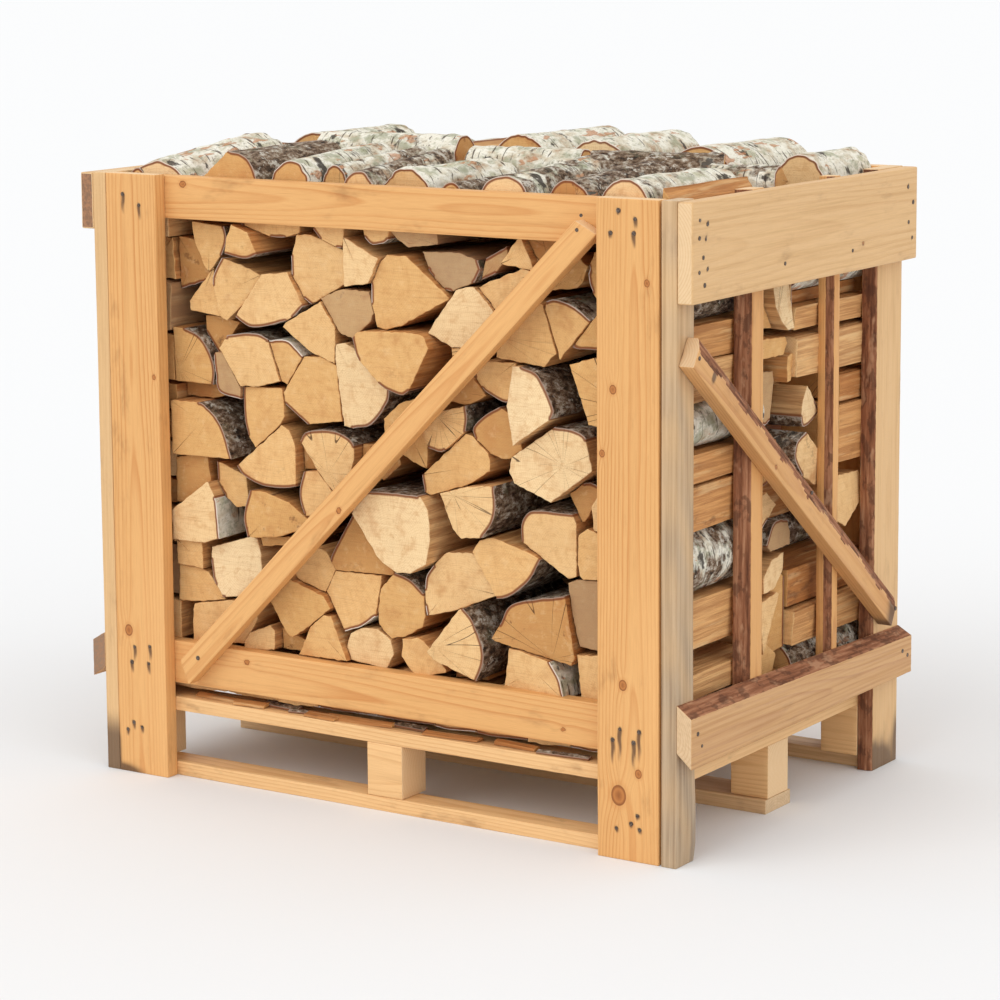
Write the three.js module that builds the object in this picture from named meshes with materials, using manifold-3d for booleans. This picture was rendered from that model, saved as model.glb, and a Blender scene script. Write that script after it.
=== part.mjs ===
// A slatted softwood crate on its own block pallet, filled with split birch firewood.
// Millimetres, +Z up. The origin is the centre of the footprint, on the floor, and -Y is the front.
// The crate looks the same turned half round, so the back and the left side are the front and
// the right side turned by 180 degrees about Z.
import * as THREE from "three";
import { mergeVertices } from "three/addons/utils/BufferGeometryUtils.js";
import Module from "manifold-3d";

// Driving dimensions of the crate.
const HALF_WIDTH = 525; // middle to the outer face of a side post
const HALF_DEPTH = 352.5; // middle to the outer face of the front boards
const POST_TOP = 955;
const BOARD = 25; // thickness of the crate's boards
const FIT = 0.3; // gap where two pieces touch
const EASED = 2; // chamfer on a sawn board's corners

// Faces that the pieces share.
const INNER_X = HALF_WIDTH - BOARD; // inner face of the side posts
const RAIL_FRONT = HALF_DEPTH - BOARD - FIT; // outer face of the rails, behind the boards
const RAIL_BACK = RAIL_FRONT - BOARD; // inner face of the rails

// The front: two upright boards, two rails and a brace.
const LEFT_BOARD = { from: -499.5, to: -402 };
const RIGHT_BOARD = { from: 394, to: 496 };
const TOP_RAIL = { from: 886, to: 952 };
const BOTTOM_RAIL = { from: 150, to: 218 };
const FRONT_BRACE_WIDTH = 38;

// The right side, from front to back.
const NARROW_POST = 40;
const WIDE_POST = 89;
const RIGHT_TOP_BOARD = { from: 811, to: 954 };
const LEFT_TOP_BOARD = { from: 866, to: 954 };
const STAKE_FOOT = 152;
const SIDE_BRACE_WIDTH = 46;

// The pallet under it.
const RUNNER = { height: 22, edgeWidth: 48, middleWidth: 79 };
const BLOCK = { width: 64, top: 105 };
const DECK_BOARD = { thickness: 22, width: 62 };
const STRINGER = { thickness: 16, width: 70 };
const SLAT = { thickness: 16, width: 80, places: [-190, -62, 62, 190] };

// The firewood: two rows of billets end to end, with crosswise ones in the gap between the rows.
const BILLET_END = RAIL_BACK - FIT; // where the billets end behind a rail
const BILLET_NOSE = 322; // how far they stand out between the rails
const ROW_INNER = 52; // inner end of both rows
const STACK_TOP = 952;
const STACK_HALF_WIDTH = INNER_X - 0.6;

const LOOKS = {
  planed_pine: { color: 0xe0a868, roughness: 0.62 },
  sawn_pine: { color: 0xcfae7c, roughness: 0.78 },
  waney_pine: { color: 0xb07a4c, roughness: 0.8 },
  pallet_pine: { color: 0xc9995f, roughness: 0.8 },
  split_birch: { color: 0xd2a566, roughness: 0.75 },
};

// The plane of an outline (u, v) and the way it is drawn out, for each row axis.
const AXES = {
  x: new THREE.Matrix4().set(0, 0, 1, 0, 1, 0, 0, 0, 0, 1, 0, 0, 0, 0, 0, 1), // u is y, v is z
  y: new THREE.Matrix4().set(1, 0, 0, 0, 0, 0, -1, 0, 0, 1, 0, 0, 0, 0, 0, 1), // u is x, v is z
  z: new THREE.Matrix4(), // u is x, v is y
};

function outline(points) {
  return new THREE.Shape(points.map(([u, v]) => new THREE.Vector2(u, v)));
}

// An outline drawn out along a row axis, between two places on it.
function drawn(shape, axis, from, to) {
  const geometry = new THREE.ExtrudeGeometry(shape, {
    depth: to - from,
    bevelEnabled: false,
    curveSegments: 8,
  });
  geometry.applyMatrix4(AXES[axis]);
  const start = { x: [from, 0, 0], y: [0, to, 0], z: [0, 0, from] }[axis];
  return geometry.translate(...start);
}

// A rectangle with chamfered corners.
function easedRectangle(u, v) {
  const c = EASED;
  return outline([
    [u.from + c, v.from],
    [u.to - c, v.from],
    [u.to, v.from + c],
    [u.to, v.to - c],
    [u.to - c, v.to],
    [u.from + c, v.to],
    [u.from, v.to - c],
    [u.from, v.from + c],
  ]);
}

function piece(name, look, geometry) {
  const mesh = new THREE.Mesh(geometry, new THREE.MeshStandardMaterial({ ...LOOKS[look], metalness: 0 }));
  mesh.name = name;
  return mesh;
}

// A straight board with chamfered long edges, running along one axis.
function plank(name, look, runs, x, y, z) {
  const [u, v, w] = { x: [y, z, x], y: [x, z, y], z: [x, y, z] }[runs];
  return piece(name, look, drawn(easedRectangle(u, v), runs, w.from, w.to));
}

const span = (from, to) => ({ from, to });
const around = (middle, width) => span(middle - width / 2, middle + width / 2);

// A slanted bar's outline: its middle line, its width, and the cut at each end along (cut) from the line.
function barOutline(start, end, width, startCut, endCut) {
  const [run, rise] = [end[0] - start[0], end[1] - start[1]];
  const length = Math.hypot(run, rise);
  const side = [(-rise / length) * (width / 2), (run / length) * (width / 2)];
  const along = [run / length, rise / length];
  const corner = ([u, v], s, slip) => [u + s * side[0] + slip * along[0], v + s * side[1] + slip * along[1]];
  return outline([
    corner(start, -1, startCut),
    corner(end, -1, endCut),
    corner(end, 1, -endCut),
    corner(start, 1, -startCut),
  ]);
}

// The front of the crate, and turned half round also its back.
function crateFront(prefix) {
  const group = new THREE.Group();
  const boards = span(-HALF_DEPTH, -HALF_DEPTH + BOARD);
  const rails = span(-RAIL_FRONT, -RAIL_BACK);
  const between = span(-INNER_X + FIT, INNER_X - FIT);
  const upright = span(0, POST_TOP);
  group.add(plank(`${prefix}_left_board`, "planed_pine", "z", LEFT_BOARD, boards, upright));
  group.add(plank(`${prefix}_right_board`, "planed_pine", "z", RIGHT_BOARD, boards, upright));
  group.add(plank(`${prefix}_top_rail`, "planed_pine", "x", between, rails, TOP_RAIL));
  group.add(plank(`${prefix}_bottom_rail`, "planed_pine", "x", between, rails, BOTTOM_RAIL));
  const brace = barOutline([-366, 175], [375, 911], FRONT_BRACE_WIDTH, -8, 6);
  group.add(piece(`${prefix}_brace`, "planed_pine", drawn(brace, "y", -HALF_DEPTH + 2, -RAIL_FRONT - FIT)));
  return group;
}

// The narrow post's inner edge follows the tree's outside near the floor, where it is wider.
function narrowPost() {
  const back = -HALF_DEPTH + NARROW_POST;
  return outline([
    [-HALF_DEPTH, 0],
    [back + 2, 0],
    [back + 8, 25],
    [back + 9, 65],
    [back + 5, 120],
    [back, 175],
    [back, POST_TOP],
    [-HALF_DEPTH, POST_TOP],
  ]);
}

// The bottom board is a slab with a sloping bark edge on top. It is lower at its far end.
function slab() {
  const geometry = drawn(
    outline([
      [HALF_WIDTH + FIT, 170],
      [HALF_WIDTH + BOARD, 148],
      [HALF_WIDTH + BOARD, 222],
      [HALF_WIDTH + FIT, 240],
    ]),
    "y",
    -HALF_DEPTH,
    HALF_DEPTH,
  );
  const places = geometry.getAttribute("position");
  const foot = 148;
  const farShare = 0.8;
  for (let i = 0; i < places.count; i++) {
    if (places.getY(i) > 0) {
      places.setZ(i, foot + (places.getZ(i) - foot) * farShare);
    }
  }
  geometry.computeVertexNormals();
  return geometry;
}

// The right side of the crate, and turned half round also its left side.
function crateSide(prefix, topBoard, braceFoot) {
  const group = new THREE.Group();
  const posts = span(INNER_X, HALF_WIDTH);
  const outer = span(HALF_WIDTH + FIT, HALF_WIDTH + BOARD);
  const deep = span(-HALF_DEPTH, HALF_DEPTH);
  group.add(piece(`${prefix}_narrow_post`, "sawn_pine", drawn(narrowPost(), "x", posts.from, posts.to)));
  // The wide post: its inner edge is bark, sloping back a little from the outer face.
  const postSection = outline([
    [posts.from, HALF_DEPTH - WIDE_POST],
    [posts.to - 6, HALF_DEPTH - WIDE_POST],
    [posts.to, HALF_DEPTH - WIDE_POST + 5],
    [posts.to, HALF_DEPTH],
    [posts.from, HALF_DEPTH],
  ]);
  group.add(piece(`${prefix}_wide_post`, "sawn_pine", drawn(postSection, "z", 0, POST_TOP)));
  group.add(plank(`${prefix}_top_board`, "sawn_pine", "y", outer, deep, topBoard));
  group.add(piece(`${prefix}_bottom_board`, "waney_pine", slab()));
  // The stakes are sawn from the outside of the tree: each has one sloping bark edge.
  const stakeOne = outline([
    [posts.from, -145.5],
    [posts.from + 6, -145.5],
    [posts.to - FIT, -132],
    [posts.to - FIT, -99.5],
    [posts.from, -99.5],
  ]);
  const stakeTwo = outline([
    [posts.from, 117.5],
    [posts.from + 10, 117.5],
    [posts.to - FIT, 124.5],
    [posts.to - FIT, 141.5],
    [posts.from, 141.5],
  ]);
  group.add(piece(`${prefix}_stake_1`, "waney_pine", drawn(stakeOne, "z", STAKE_FOOT, POST_TOP)));
  group.add(piece(`${prefix}_stake_2`, "waney_pine", drawn(stakeTwo, "z", STAKE_FOOT, POST_TOP)));
  const brace = barOutline([-336, 743], braceFoot, SIDE_BRACE_WIDTH, 2, 4);
  group.add(piece(`${prefix}_brace`, "waney_pine", drawn(brace, "x", outer.from, outer.to)));
  return group;
}

// The pallet: runners on the floor, nine blocks, two deck boards, stringers and slats.
function pallet() {
  const group = new THREE.Group();
  const across = span(-INNER_X + FIT, INNER_X - FIT);
  const ground = span(0, RUNNER.height);
  const edgeRunner = span(-RAIL_FRONT, -RAIL_FRONT + RUNNER.edgeWidth);
  const backRunner = span(RAIL_FRONT - RUNNER.edgeWidth, RAIL_FRONT);
  group.add(plank("pallet_runner_front", "pallet_pine", "x", across, edgeRunner, ground));
  group.add(plank("pallet_runner_middle", "pallet_pine", "x", across, around(0, RUNNER.middleWidth), ground));
  group.add(plank("pallet_runner_back", "pallet_pine", "x", across, backRunner, ground));

  const columns = { left: -INNER_X + BLOCK.width / 2 + 0.5, centre: 0, right: INNER_X - BLOCK.width / 2 - 0.5 };
  const rows = { front: -RAIL_FRONT + BLOCK.width / 2, middle: 0, back: RAIL_FRONT - BLOCK.width / 2 };
  const blockHeight = span(RUNNER.height + FIT, BLOCK.top);
  for (const [row, y] of Object.entries(rows)) {
    for (const [column, x] of Object.entries(columns)) {
      const name = `pallet_block_${row}_${column}`;
      group.add(plank(name, "pallet_pine", "z", around(x, BLOCK.width), around(y, BLOCK.width), blockHeight));
    }
  }

  const deckFoot = BLOCK.top + FIT;
  const deckLevel = span(deckFoot, deckFoot + DECK_BOARD.thickness);
  const frontDeck = span(-RAIL_FRONT, -RAIL_FRONT + DECK_BOARD.width);
  const backDeck = span(RAIL_FRONT - DECK_BOARD.width, RAIL_FRONT);
  group.add(plank("deck_board_front", "pallet_pine", "x", across, frontDeck, deckLevel));
  group.add(plank("deck_board_back", "pallet_pine", "x", across, backDeck, deckLevel));

  const stringerSpan = span(frontDeck.to + FIT, backDeck.from - FIT);
  const stringerLevel = span(deckFoot, deckFoot + STRINGER.thickness);
  const stringerReach = INNER_X - 0.5 - STRINGER.width / 2;
  const stringers = { left: -stringerReach, centre: 0, right: stringerReach };
  for (const [side, x] of Object.entries(stringers)) {
    const name = `deck_stringer_${side}`;
    group.add(plank(name, "pallet_pine", "y", around(x, STRINGER.width), stringerSpan, stringerLevel));
  }

  const slatLevel = span(stringerLevel.to + FIT, stringerLevel.to + FIT + SLAT.thickness);
  SLAT.places.forEach((y, i) => {
    group.add(plank(`deck_slat_${i + 1}`, "pallet_pine", "x", across, around(y, SLAT.width), slatLevel));
  });
  group.userData.top = slatLevel.to;
  return group;
}

// The single billets on top of the rows: middle, width, level of the split underside, and top.
const TOP_BILLETS = {
  front: [
    [-450, 92, 925, 988],
    [-304, 124, 930, 992],
    [-170, 118, 928, 994],
    [24, 112, 930, 990],
    [212, 92, 920, 978],
    [311, 86, 918, 982],
    [416, 94, 920, 980],
  ],
  back: [
    [-398, 128, 930, 996],
    [10, 132, 934, 1008],
    [148, 128, 930, 1004],
    [330, 136, 928, 1000],
  ],
};
const CROSS_BILLET = { x: span(-330, -80), y: span(-47, 47), foot: 946, top: 1006 };

// The radius of the tree that a billet of this width and height was split from.
function treeRadius(half, rise) {
  return (half * half + rise * rise) / (2 * rise);
}

// A billet split flat underneath, with the tree's rounded outside on top.
function halfRound(middle, width, foot, top) {
  const half = width / 2;
  const radius = treeRadius(half, top - foot);
  const centre = top - radius;
  const start = Math.atan2(foot - centre, half);
  const shape = new THREE.Shape();
  shape.moveTo(middle - half, foot);
  shape.lineTo(middle + half, foot);
  shape.absarc(middle, centre, radius, start, Math.PI - start, false);
  return shape;
}

// The top of a row: level, but cut down under each billet that lies on it.
function stackOutline(foot, billets) {
  const points = [
    [-STACK_HALF_WIDTH, foot],
    [STACK_HALF_WIDTH, foot],
    [STACK_HALF_WIDTH, STACK_TOP - 20],
  ];
  for (const [middle, width, level, top] of [...billets].reverse()) {
    const rise = top - level;
    const half = (rise > width / 2 ? treeRadius(width / 2, rise) : width / 2) + FIT;
    points.push([middle + half, STACK_TOP], [middle + half, level - FIT]);
    points.push([middle - half, level - FIT], [middle - half, STACK_TOP]);
  }
  points.push([-STACK_HALF_WIDTH, STACK_TOP - 20]);
  return outline(points);
}

const wasm = await Module();
wasm.setup();

function toSolid(geometry) {
  const bare = geometry.clone();
  bare.deleteAttribute("normal");
  bare.deleteAttribute("uv");
  const merged = mergeVertices(bare, 1e-4);
  return new wasm.Manifold(
    new wasm.Mesh({
      numProp: 3,
      vertProperties: merged.getAttribute("position").array,
      triVerts: new Uint32Array(merged.index.array),
    }),
  );
}

function toGeometry(solid) {
  const mesh = solid.getMesh();
  const geometry = new THREE.BufferGeometry();
  geometry.setAttribute("position", new THREE.BufferAttribute(mesh.vertProperties, 3));
  geometry.setIndex(new THREE.BufferAttribute(mesh.triVerts, 1));
  geometry.computeVertexNormals();
  return geometry;
}

// One row of billets: its top outline, and a side view that steps back behind both rails.
function row(foot, billets, y) {
  const across = toSolid(drawn(stackOutline(foot, billets), "y", -BILLET_NOSE, BILLET_NOSE));
  const [inner, end, nose] = [y * ROW_INNER, y * BILLET_END, y * BILLET_NOSE];
  const profile = [
    [inner, foot],
    [end, foot],
    [end, BOTTOM_RAIL.to + 4],
    [nose, BOTTOM_RAIL.to + 4],
    [nose, TOP_RAIL.from - 4],
    [end, TOP_RAIL.from - 4],
    [end, STACK_TOP + 1],
    [inner, STACK_TOP + 1],
  ];
  const side = toSolid(drawn(outline(y > 0 ? profile : profile.reverse()), "x", -HALF_WIDTH, HALF_WIDTH));
  return toGeometry(across.intersect(side));
}

function firewood(deckTop) {
  const group = new THREE.Group();
  const foot = deckTop + FIT;
  group.add(piece("front_row_billets", "split_birch", row(foot, TOP_BILLETS.front, -1)));
  group.add(piece("back_row_billets", "split_birch", row(foot, TOP_BILLETS.back, 1)));

  const crossMiddle = (CROSS_BILLET.x.from + CROSS_BILLET.x.to) / 2;
  const crossWidth = CROSS_BILLET.x.to - CROSS_BILLET.x.from;
  const crossOutline = stackOutline(foot, [[crossMiddle, crossWidth, CROSS_BILLET.foot, CROSS_BILLET.top]]);
  const between = drawn(crossOutline, "y", -ROW_INNER + FIT, ROW_INNER - FIT);
  group.add(piece("crosswise_billets", "split_birch", between));

  const rows = { front: span(-BILLET_END, -ROW_INNER), back: span(ROW_INNER, BILLET_END) };
  for (const [side, billets] of Object.entries(TOP_BILLETS)) {
    billets.forEach((billet, i) => {
      const geometry = drawn(halfRound(...billet), "y", rows[side].from, rows[side].to);
      group.add(piece(`top_billet_${side}_${i + 1}`, "split_birch", geometry));
    });
  }
  const { x, y, foot: level, top } = CROSS_BILLET;
  const crossShape = halfRound((y.from + y.to) / 2, y.to - y.from, level, top);
  group.add(piece("top_billet_cross", "split_birch", drawn(crossShape, "x", x.from, x.to)));
  return group;
}

const crate = new THREE.Group();
const back = crateFront("back");
const left = crateSide("left", LEFT_TOP_BOARD, [317, 246]);
back.rotation.z = Math.PI;
left.rotation.z = Math.PI;
crate.add(crateFront("front"), back, crateSide("right", RIGHT_TOP_BOARD, [291, 256]), left);
const base = pallet();
crate.add(base, firewood(base.userData.top));

export default crate;
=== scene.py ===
"""Slatted pine crate on a block pallet, filled with split birch firewood."""

import math

import bpy
import numpy as np
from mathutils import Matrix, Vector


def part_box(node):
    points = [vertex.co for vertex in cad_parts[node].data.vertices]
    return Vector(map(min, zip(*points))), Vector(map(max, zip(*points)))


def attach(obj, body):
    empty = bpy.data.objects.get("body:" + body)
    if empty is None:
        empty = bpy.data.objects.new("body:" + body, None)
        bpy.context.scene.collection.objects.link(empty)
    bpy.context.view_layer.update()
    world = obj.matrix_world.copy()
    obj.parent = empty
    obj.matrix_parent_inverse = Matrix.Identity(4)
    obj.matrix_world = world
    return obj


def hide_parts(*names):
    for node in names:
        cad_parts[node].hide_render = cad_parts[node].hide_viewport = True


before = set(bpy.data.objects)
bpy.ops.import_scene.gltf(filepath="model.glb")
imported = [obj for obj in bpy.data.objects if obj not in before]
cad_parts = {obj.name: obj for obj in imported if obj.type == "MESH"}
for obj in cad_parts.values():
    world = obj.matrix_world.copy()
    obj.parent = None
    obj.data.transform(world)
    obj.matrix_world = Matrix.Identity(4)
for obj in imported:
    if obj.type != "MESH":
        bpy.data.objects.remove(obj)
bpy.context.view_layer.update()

MM = 0.001
# Billets and chips are noted in millimetres from the front left corner of the posts, on the floor.
# The frame starts in the middle of the crate, so these are taken off.
CORNER_X = 525.0
CORNER_Y = 352.5


# ---------------------------------------------------------------- camera, light and floor

CAMERA_PLACE = (2.7421, -4.1869, 1.3564)
CAMERA_TURN = (81.292, 0.4, 33.162)
CAMERA_LENS = 115.57
CAMERA_RISE = -0.1
SENSOR = 36
# Each sun: the way its light travels, strength, spread in degrees.
SUNS = {"key": ((0.25, 0.8, -0.75), 0.9, 50), "fill": ((-0.85, 0.35, -0.6), 0.55, 70)}
FLOOR_SIZE = 300
BACKDROP = (0.913, 0.913, 0.913)
FLOOR = (0.81, 0.815, 0.82)


def set_camera():
    data = bpy.data.cameras.new("camera")
    data.lens = CAMERA_LENS
    data.sensor_width = SENSOR
    data.shift_y = CAMERA_RISE
    camera = bpy.data.objects.new("camera", data)
    camera.location = CAMERA_PLACE
    camera.rotation_euler = [math.radians(a) for a in CAMERA_TURN]
    bpy.context.scene.collection.objects.link(camera)
    bpy.context.scene.camera = camera


def soft_sun(name, aim, strength, spread):
    """Even light that travels along aim, from a wide patch of sky."""
    data = bpy.data.lights.new(name, "SUN")
    data.energy = strength
    data.angle = math.radians(spread)
    lamp = bpy.data.objects.new(name, data)
    yaw = math.atan2(-aim[1], -aim[0]) + math.pi / 2
    tilt = math.atan2(math.hypot(aim[0], aim[1]), -aim[2])
    lamp.rotation_euler = (tilt, 0, yaw)
    bpy.context.scene.collection.objects.link(lamp)


def set_studio():
    world = bpy.data.worlds.new("studio")
    world.use_nodes = True
    sky = world.node_tree.nodes["Background"]
    sky.inputs["Color"].default_value = (*BACKDROP, 1)
    sky.inputs["Strength"].default_value = 1.0
    bpy.context.scene.world = world
    for name, (aim, strength, spread) in SUNS.items():
        soft_sun(name, aim, strength, spread)
    bpy.ops.mesh.primitive_plane_add(size=FLOOR_SIZE)
    floor = bpy.context.object
    floor.name = "floor"
    paint = bpy.data.materials.new("floor_paint")
    paint.use_nodes = True
    shader = paint.node_tree.nodes["Principled BSDF"]
    shader.inputs["Base Color"].default_value = (*FLOOR, 1)
    shader.inputs["Roughness"].default_value = 1.0
    shader.inputs["Specular IOR Level"].default_value = 0.0
    floor.data.materials.append(paint)
    scene = bpy.context.scene
    scene.view_settings.view_transform = "Standard"
    scene.view_settings.look = "None"


# ---------------------------------------------------------------- material building


def colour(r, g, b):
    """A paint chart colour, 0 to 255, as the linear values that shaders use."""
    out = []
    for c in (r, g, b):
        s = c / 255
        out.append(s / 12.92 if s <= 0.04045 else ((s + 0.055) / 1.055) ** 2.4)
    return (*out, 1.0)


class Finish:
    """A material and short ways to add its nodes."""

    def __init__(self, name):
        self.material = bpy.data.materials.new(name)
        self.material.use_nodes = True
        self.tree = self.material.node_tree
        self.shader = self.tree.nodes["Principled BSDF"]

    def put(self, socket, value):
        if isinstance(value, bpy.types.NodeSocket):
            self.tree.links.new(value, socket)
        else:
            socket.default_value = value

    def node(self, kind, **inputs):
        made = self.tree.nodes.new(kind)
        for key, value in inputs.items():
            self.put(made.inputs[key], value)
        return made

    def attribute(self, name, output="Fac"):
        made = self.tree.nodes.new("ShaderNodeAttribute")
        made.attribute_name = name
        return made.outputs[output]

    def split(self, vector):
        return self.node("ShaderNodeSeparateXYZ", Vector=vector).outputs

    def calculate(self, kind, a, b=0.0):
        made = self.tree.nodes.new("ShaderNodeMath")
        made.operation = kind
        self.put(made.inputs[0], a)
        self.put(made.inputs[1], b)
        return made.outputs[0]

    def sum(self, a, b):
        return self.calculate("ADD", a, b)

    def less(self, a, b):
        return self.calculate("SUBTRACT", a, b)

    def times(self, a, b):
        return self.calculate("MULTIPLY", a, b)

    def fraction(self, a):
        return self.calculate("FRACT", a)

    def reach(self, a, b):
        """How far a and b together are from nought."""
        return self.calculate("POWER", self.sum(self.times(a, a), self.times(b, b)), 0.5)

    def stretched(self, vector, factors, shift=(0, 0, 0)):
        made = self.tree.nodes.new("ShaderNodeMapping")
        self.put(made.inputs["Vector"], vector)
        made.inputs["Scale"].default_value = factors
        made.inputs["Location"].default_value = shift
        return made.outputs[0]

    def noise(self, vector, factors, detail=2.0, roughness=0.5, shift=(0, 0, 0)):
        made = self.tree.nodes.new("ShaderNodeTexNoise")
        made.inputs["Scale"].default_value = 1.0
        made.inputs["Detail"].default_value = detail
        made.inputs["Roughness"].default_value = roughness
        self.put(made.inputs["Vector"], self.stretched(vector, factors, shift))
        return made.outputs["Fac"]

    def band(self, value, low, high, floor=0.0, top=1.0):
        """The value taken from low..high to floor..top, with soft ends."""
        made = self.tree.nodes.new("ShaderNodeMapRange")
        made.interpolation_type = "SMOOTHSTEP"
        self.put(made.inputs["Value"], value)
        made.inputs["From Min"].default_value = low
        made.inputs["From Max"].default_value = high
        made.inputs["To Min"].default_value = floor
        made.inputs["To Max"].default_value = top
        return made.outputs[0]

    def ramp(self, value, stops):
        made = self.tree.nodes.new("ShaderNodeValToRGB")
        self.put(made.inputs[0], value)
        points = made.color_ramp.elements
        while len(points) < len(stops):
            points.new(0.5)
        for point, (place, rgb) in zip(points, stops):
            point.position = place
            point.color = rgb if len(rgb) == 4 else colour(*rgb)
        return made.outputs[0]

    def mix(self, share, a, b, kind="MIX"):
        made = self.tree.nodes.new("ShaderNodeMix")
        made.data_type = "RGBA"
        made.blend_type = kind
        self.put(made.inputs[0], share)
        self.put(made.inputs[6], a)
        self.put(made.inputs[7], b)
        return made.outputs[2]

    def tint(self, base, value, low, high, share, rgb, kind="MIX"):
        """Lays rgb over base, from nothing where the value is low up to share where it is high."""
        return self.mix(self.band(value, low, high, 0, share), base, colour(*rgb), kind)

    def bump(self, height, distance, strength=1.0):
        made = self.tree.nodes.new("ShaderNodeBump")
        made.inputs["Distance"].default_value = distance
        made.inputs["Strength"].default_value = strength
        self.put(made.inputs["Height"], height)
        return made.outputs[0]

    def finish(self, base, roughness, normal, specular=0.3):
        self.put(self.shader.inputs["Base Color"], base)
        self.put(self.shader.inputs["Roughness"], roughness)
        self.put(self.shader.inputs["Normal"], normal)
        self.shader.inputs["Specular IOR Level"].default_value = specular
        return self.material


# Metres between growth rings: along a pine board, on a pine board's end, on a birch billet's end.
PINE_RING = 0.0048
BUTT_RING = 0.0042
BIRCH_RING = 0.0034


def pine(name, early, late, dark, sawn=0.0, dirt=0.35, contrast=0.6):
    """Pine board: growth rings cut through the board, fibres, knots, rust and dirt.
    wood is the place in the tree, lengthwise first. knot is 1 at a knot's edge. rust is the stain.
    butt is 1 on a pale sawn end and 2 on an old brown one. grey is how weathered the board is; on the pallet's
    middle and back runners, under the crate, it is painted shade."""
    f = Finish(name)
    wood = f.attribute("wood", "Vector")
    along, across, deep = f.split(wood)
    radius = f.reach(across, deep)
    warp = f.noise(wood, (1.6, 9, 9), 2)
    path = f.sum(f.sum(radius, f.times(along, 0.012)), f.times(warp, 0.02))
    ring_place = f.fraction(f.times(path, 1 / PINE_RING))
    rings = f.ramp(
        ring_place,
        [(0, (0, 0, 0, 1)), (0.55, (0.12, 0.12, 0.12, 1)), (0.9, (1, 1, 1, 1)), (1, (0, 0, 0, 1))],
    )
    patch = f.noise(wood, (2.2, 14, 14), 2, shift=(3, 1, 5))
    ring_share = f.times(f.times(rings, f.band(patch, 0.3, 0.7, 0.45, 1.0)), contrast)
    base = f.mix(ring_share, colour(*early), colour(*late))
    streak = f.noise(wood, (3, 160, 160), 3, 0.6)
    base = f.mix(f.band(streak, 0.5, 0.8, 0, 0.3), base, colour(*dark))
    fibre = f.noise(wood, (30, 1400, 1400), 2)
    base = f.mix(f.band(fibre, 0.35, 0.75, 0.0, 0.22), base, colour(*dark))
    light = f.noise(wood, (1.3, 7, 7), 2, shift=(8, 2, 2))
    base = f.mix(f.band(light, 0.45, 0.75, 0, 0.35), base, colour(*[min(255, c + 14) for c in early]))
    grime = f.noise(wood, (9, 24, 24), 4, 0.65, shift=(1, 7, 3))
    base = f.mix(f.band(grime, 0.56, 0.8, 0, dirt), base, colour(128, 92, 58), "MULTIPLY")
    knot = f.attribute("knot")
    knot_colour = f.ramp(
        knot,
        [(0.0, (118, 66, 34)), (0.35, (158, 98, 52)), (0.62, (186, 122, 66)), (0.86, (110, 62, 34))],
    )
    base = f.mix(f.band(knot, 0.9, 1.0, 1, 0), base, knot_colour)
    base = f.mix(f.band(knot, 1.0, 1.7, 0.3, 0), base, colour(*late))
    rust = f.attribute("rust")
    base = f.tint(base, rust, 0.05, 0.6, 0.85, (84, 58, 42))
    butt = f.attribute("butt")
    butt_rings = f.fraction(f.times(f.sum(radius, f.times(warp, 0.003)), 1 / BUTT_RING))
    sawn_end = f.tint(colour(236, 204, 160), butt_rings, 0.5, 0.95, 0.4, (206, 158, 108))
    base = f.mix(f.band(butt, 0, 1, 0, 0.8), base, sawn_end)
    old_end = f.tint(colour(112, 70, 46), streak, 0.4, 0.65, 1, (160, 108, 74))
    base = f.mix(f.band(butt, 1.1, 2, 0, 0.9), base, old_end)
    # The weathered grey, which on the pallet's middle and back runners is painted shade.
    grey = f.attribute("grey")
    weathering_and_shade = f.tint(colour(176, 158, 136), streak, 0.35, 0.7, 1, (128, 112, 96))
    base = f.mix(grey, base, weathering_and_shade)
    height = f.sum(f.times(fibre, 0.5), f.times(rings, 0.35))
    marks = f.noise(wood, (420, 40, 40), 2)
    height = f.sum(height, f.times(marks, sawn))
    normal = f.bump(height, 0.0006, 0.7)
    rough = f.band(streak, 0.3, 0.8, 0.5, 0.68)
    return f.finish(base, rough, normal, 0.28)


def pine_bark(name):
    """Reddish pine bark on waney edges: long inner fibres with darker flakes."""
    f = Finish(name)
    wood = f.attribute("wood", "Vector")
    fibres = f.noise(wood, (10, 180, 180), 4, 0.6)
    base = f.ramp(
        fibres,
        [(0.3, (96, 58, 40)), (0.48, (142, 92, 64)), (0.62, (172, 122, 90)), (0.78, (196, 152, 118))],
    )
    flakes = f.noise(wood, (34, 70, 70), 4, 0.6, shift=(2, 2, 7))
    base = f.tint(base, flakes, 0.5, 0.6, 0.6, (84, 54, 40))
    pale = f.noise(wood, (18, 50, 50), 3, 0.6, shift=(4, 4, 1))
    base = f.tint(base, pale, 0.58, 0.68, 0.6, (190, 146, 112))
    height = f.sum(flakes, f.times(fibres, 0.6))
    normal = f.bump(height, 0.0025, 1.0)
    return f.finish(base, 0.85, normal, 0.2)


# What a billet stores for its finishes. log is the place in the tree in metres, lengthwise first.
# rim is how far the bark is, in metres. tone is how pale, how stained and how grey the wood is; on pieces set
# back in the stack the darkest tone is painted shade as well.
# kind is how papery the bark is, how likely cracks are, and a number that sets its pattern apart.
BARK_EDGE_BROWN = (150, 122, 104)
BARK_EDGE_WHITE = (228, 214, 200)


def bark_line(f, kind):
    """The bark's thin outer line, seen from its edge: brown, or white where it is papery."""
    return f.mix(kind[0], colour(*BARK_EDGE_BROWN), colour(*BARK_EDGE_WHITE))


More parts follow.
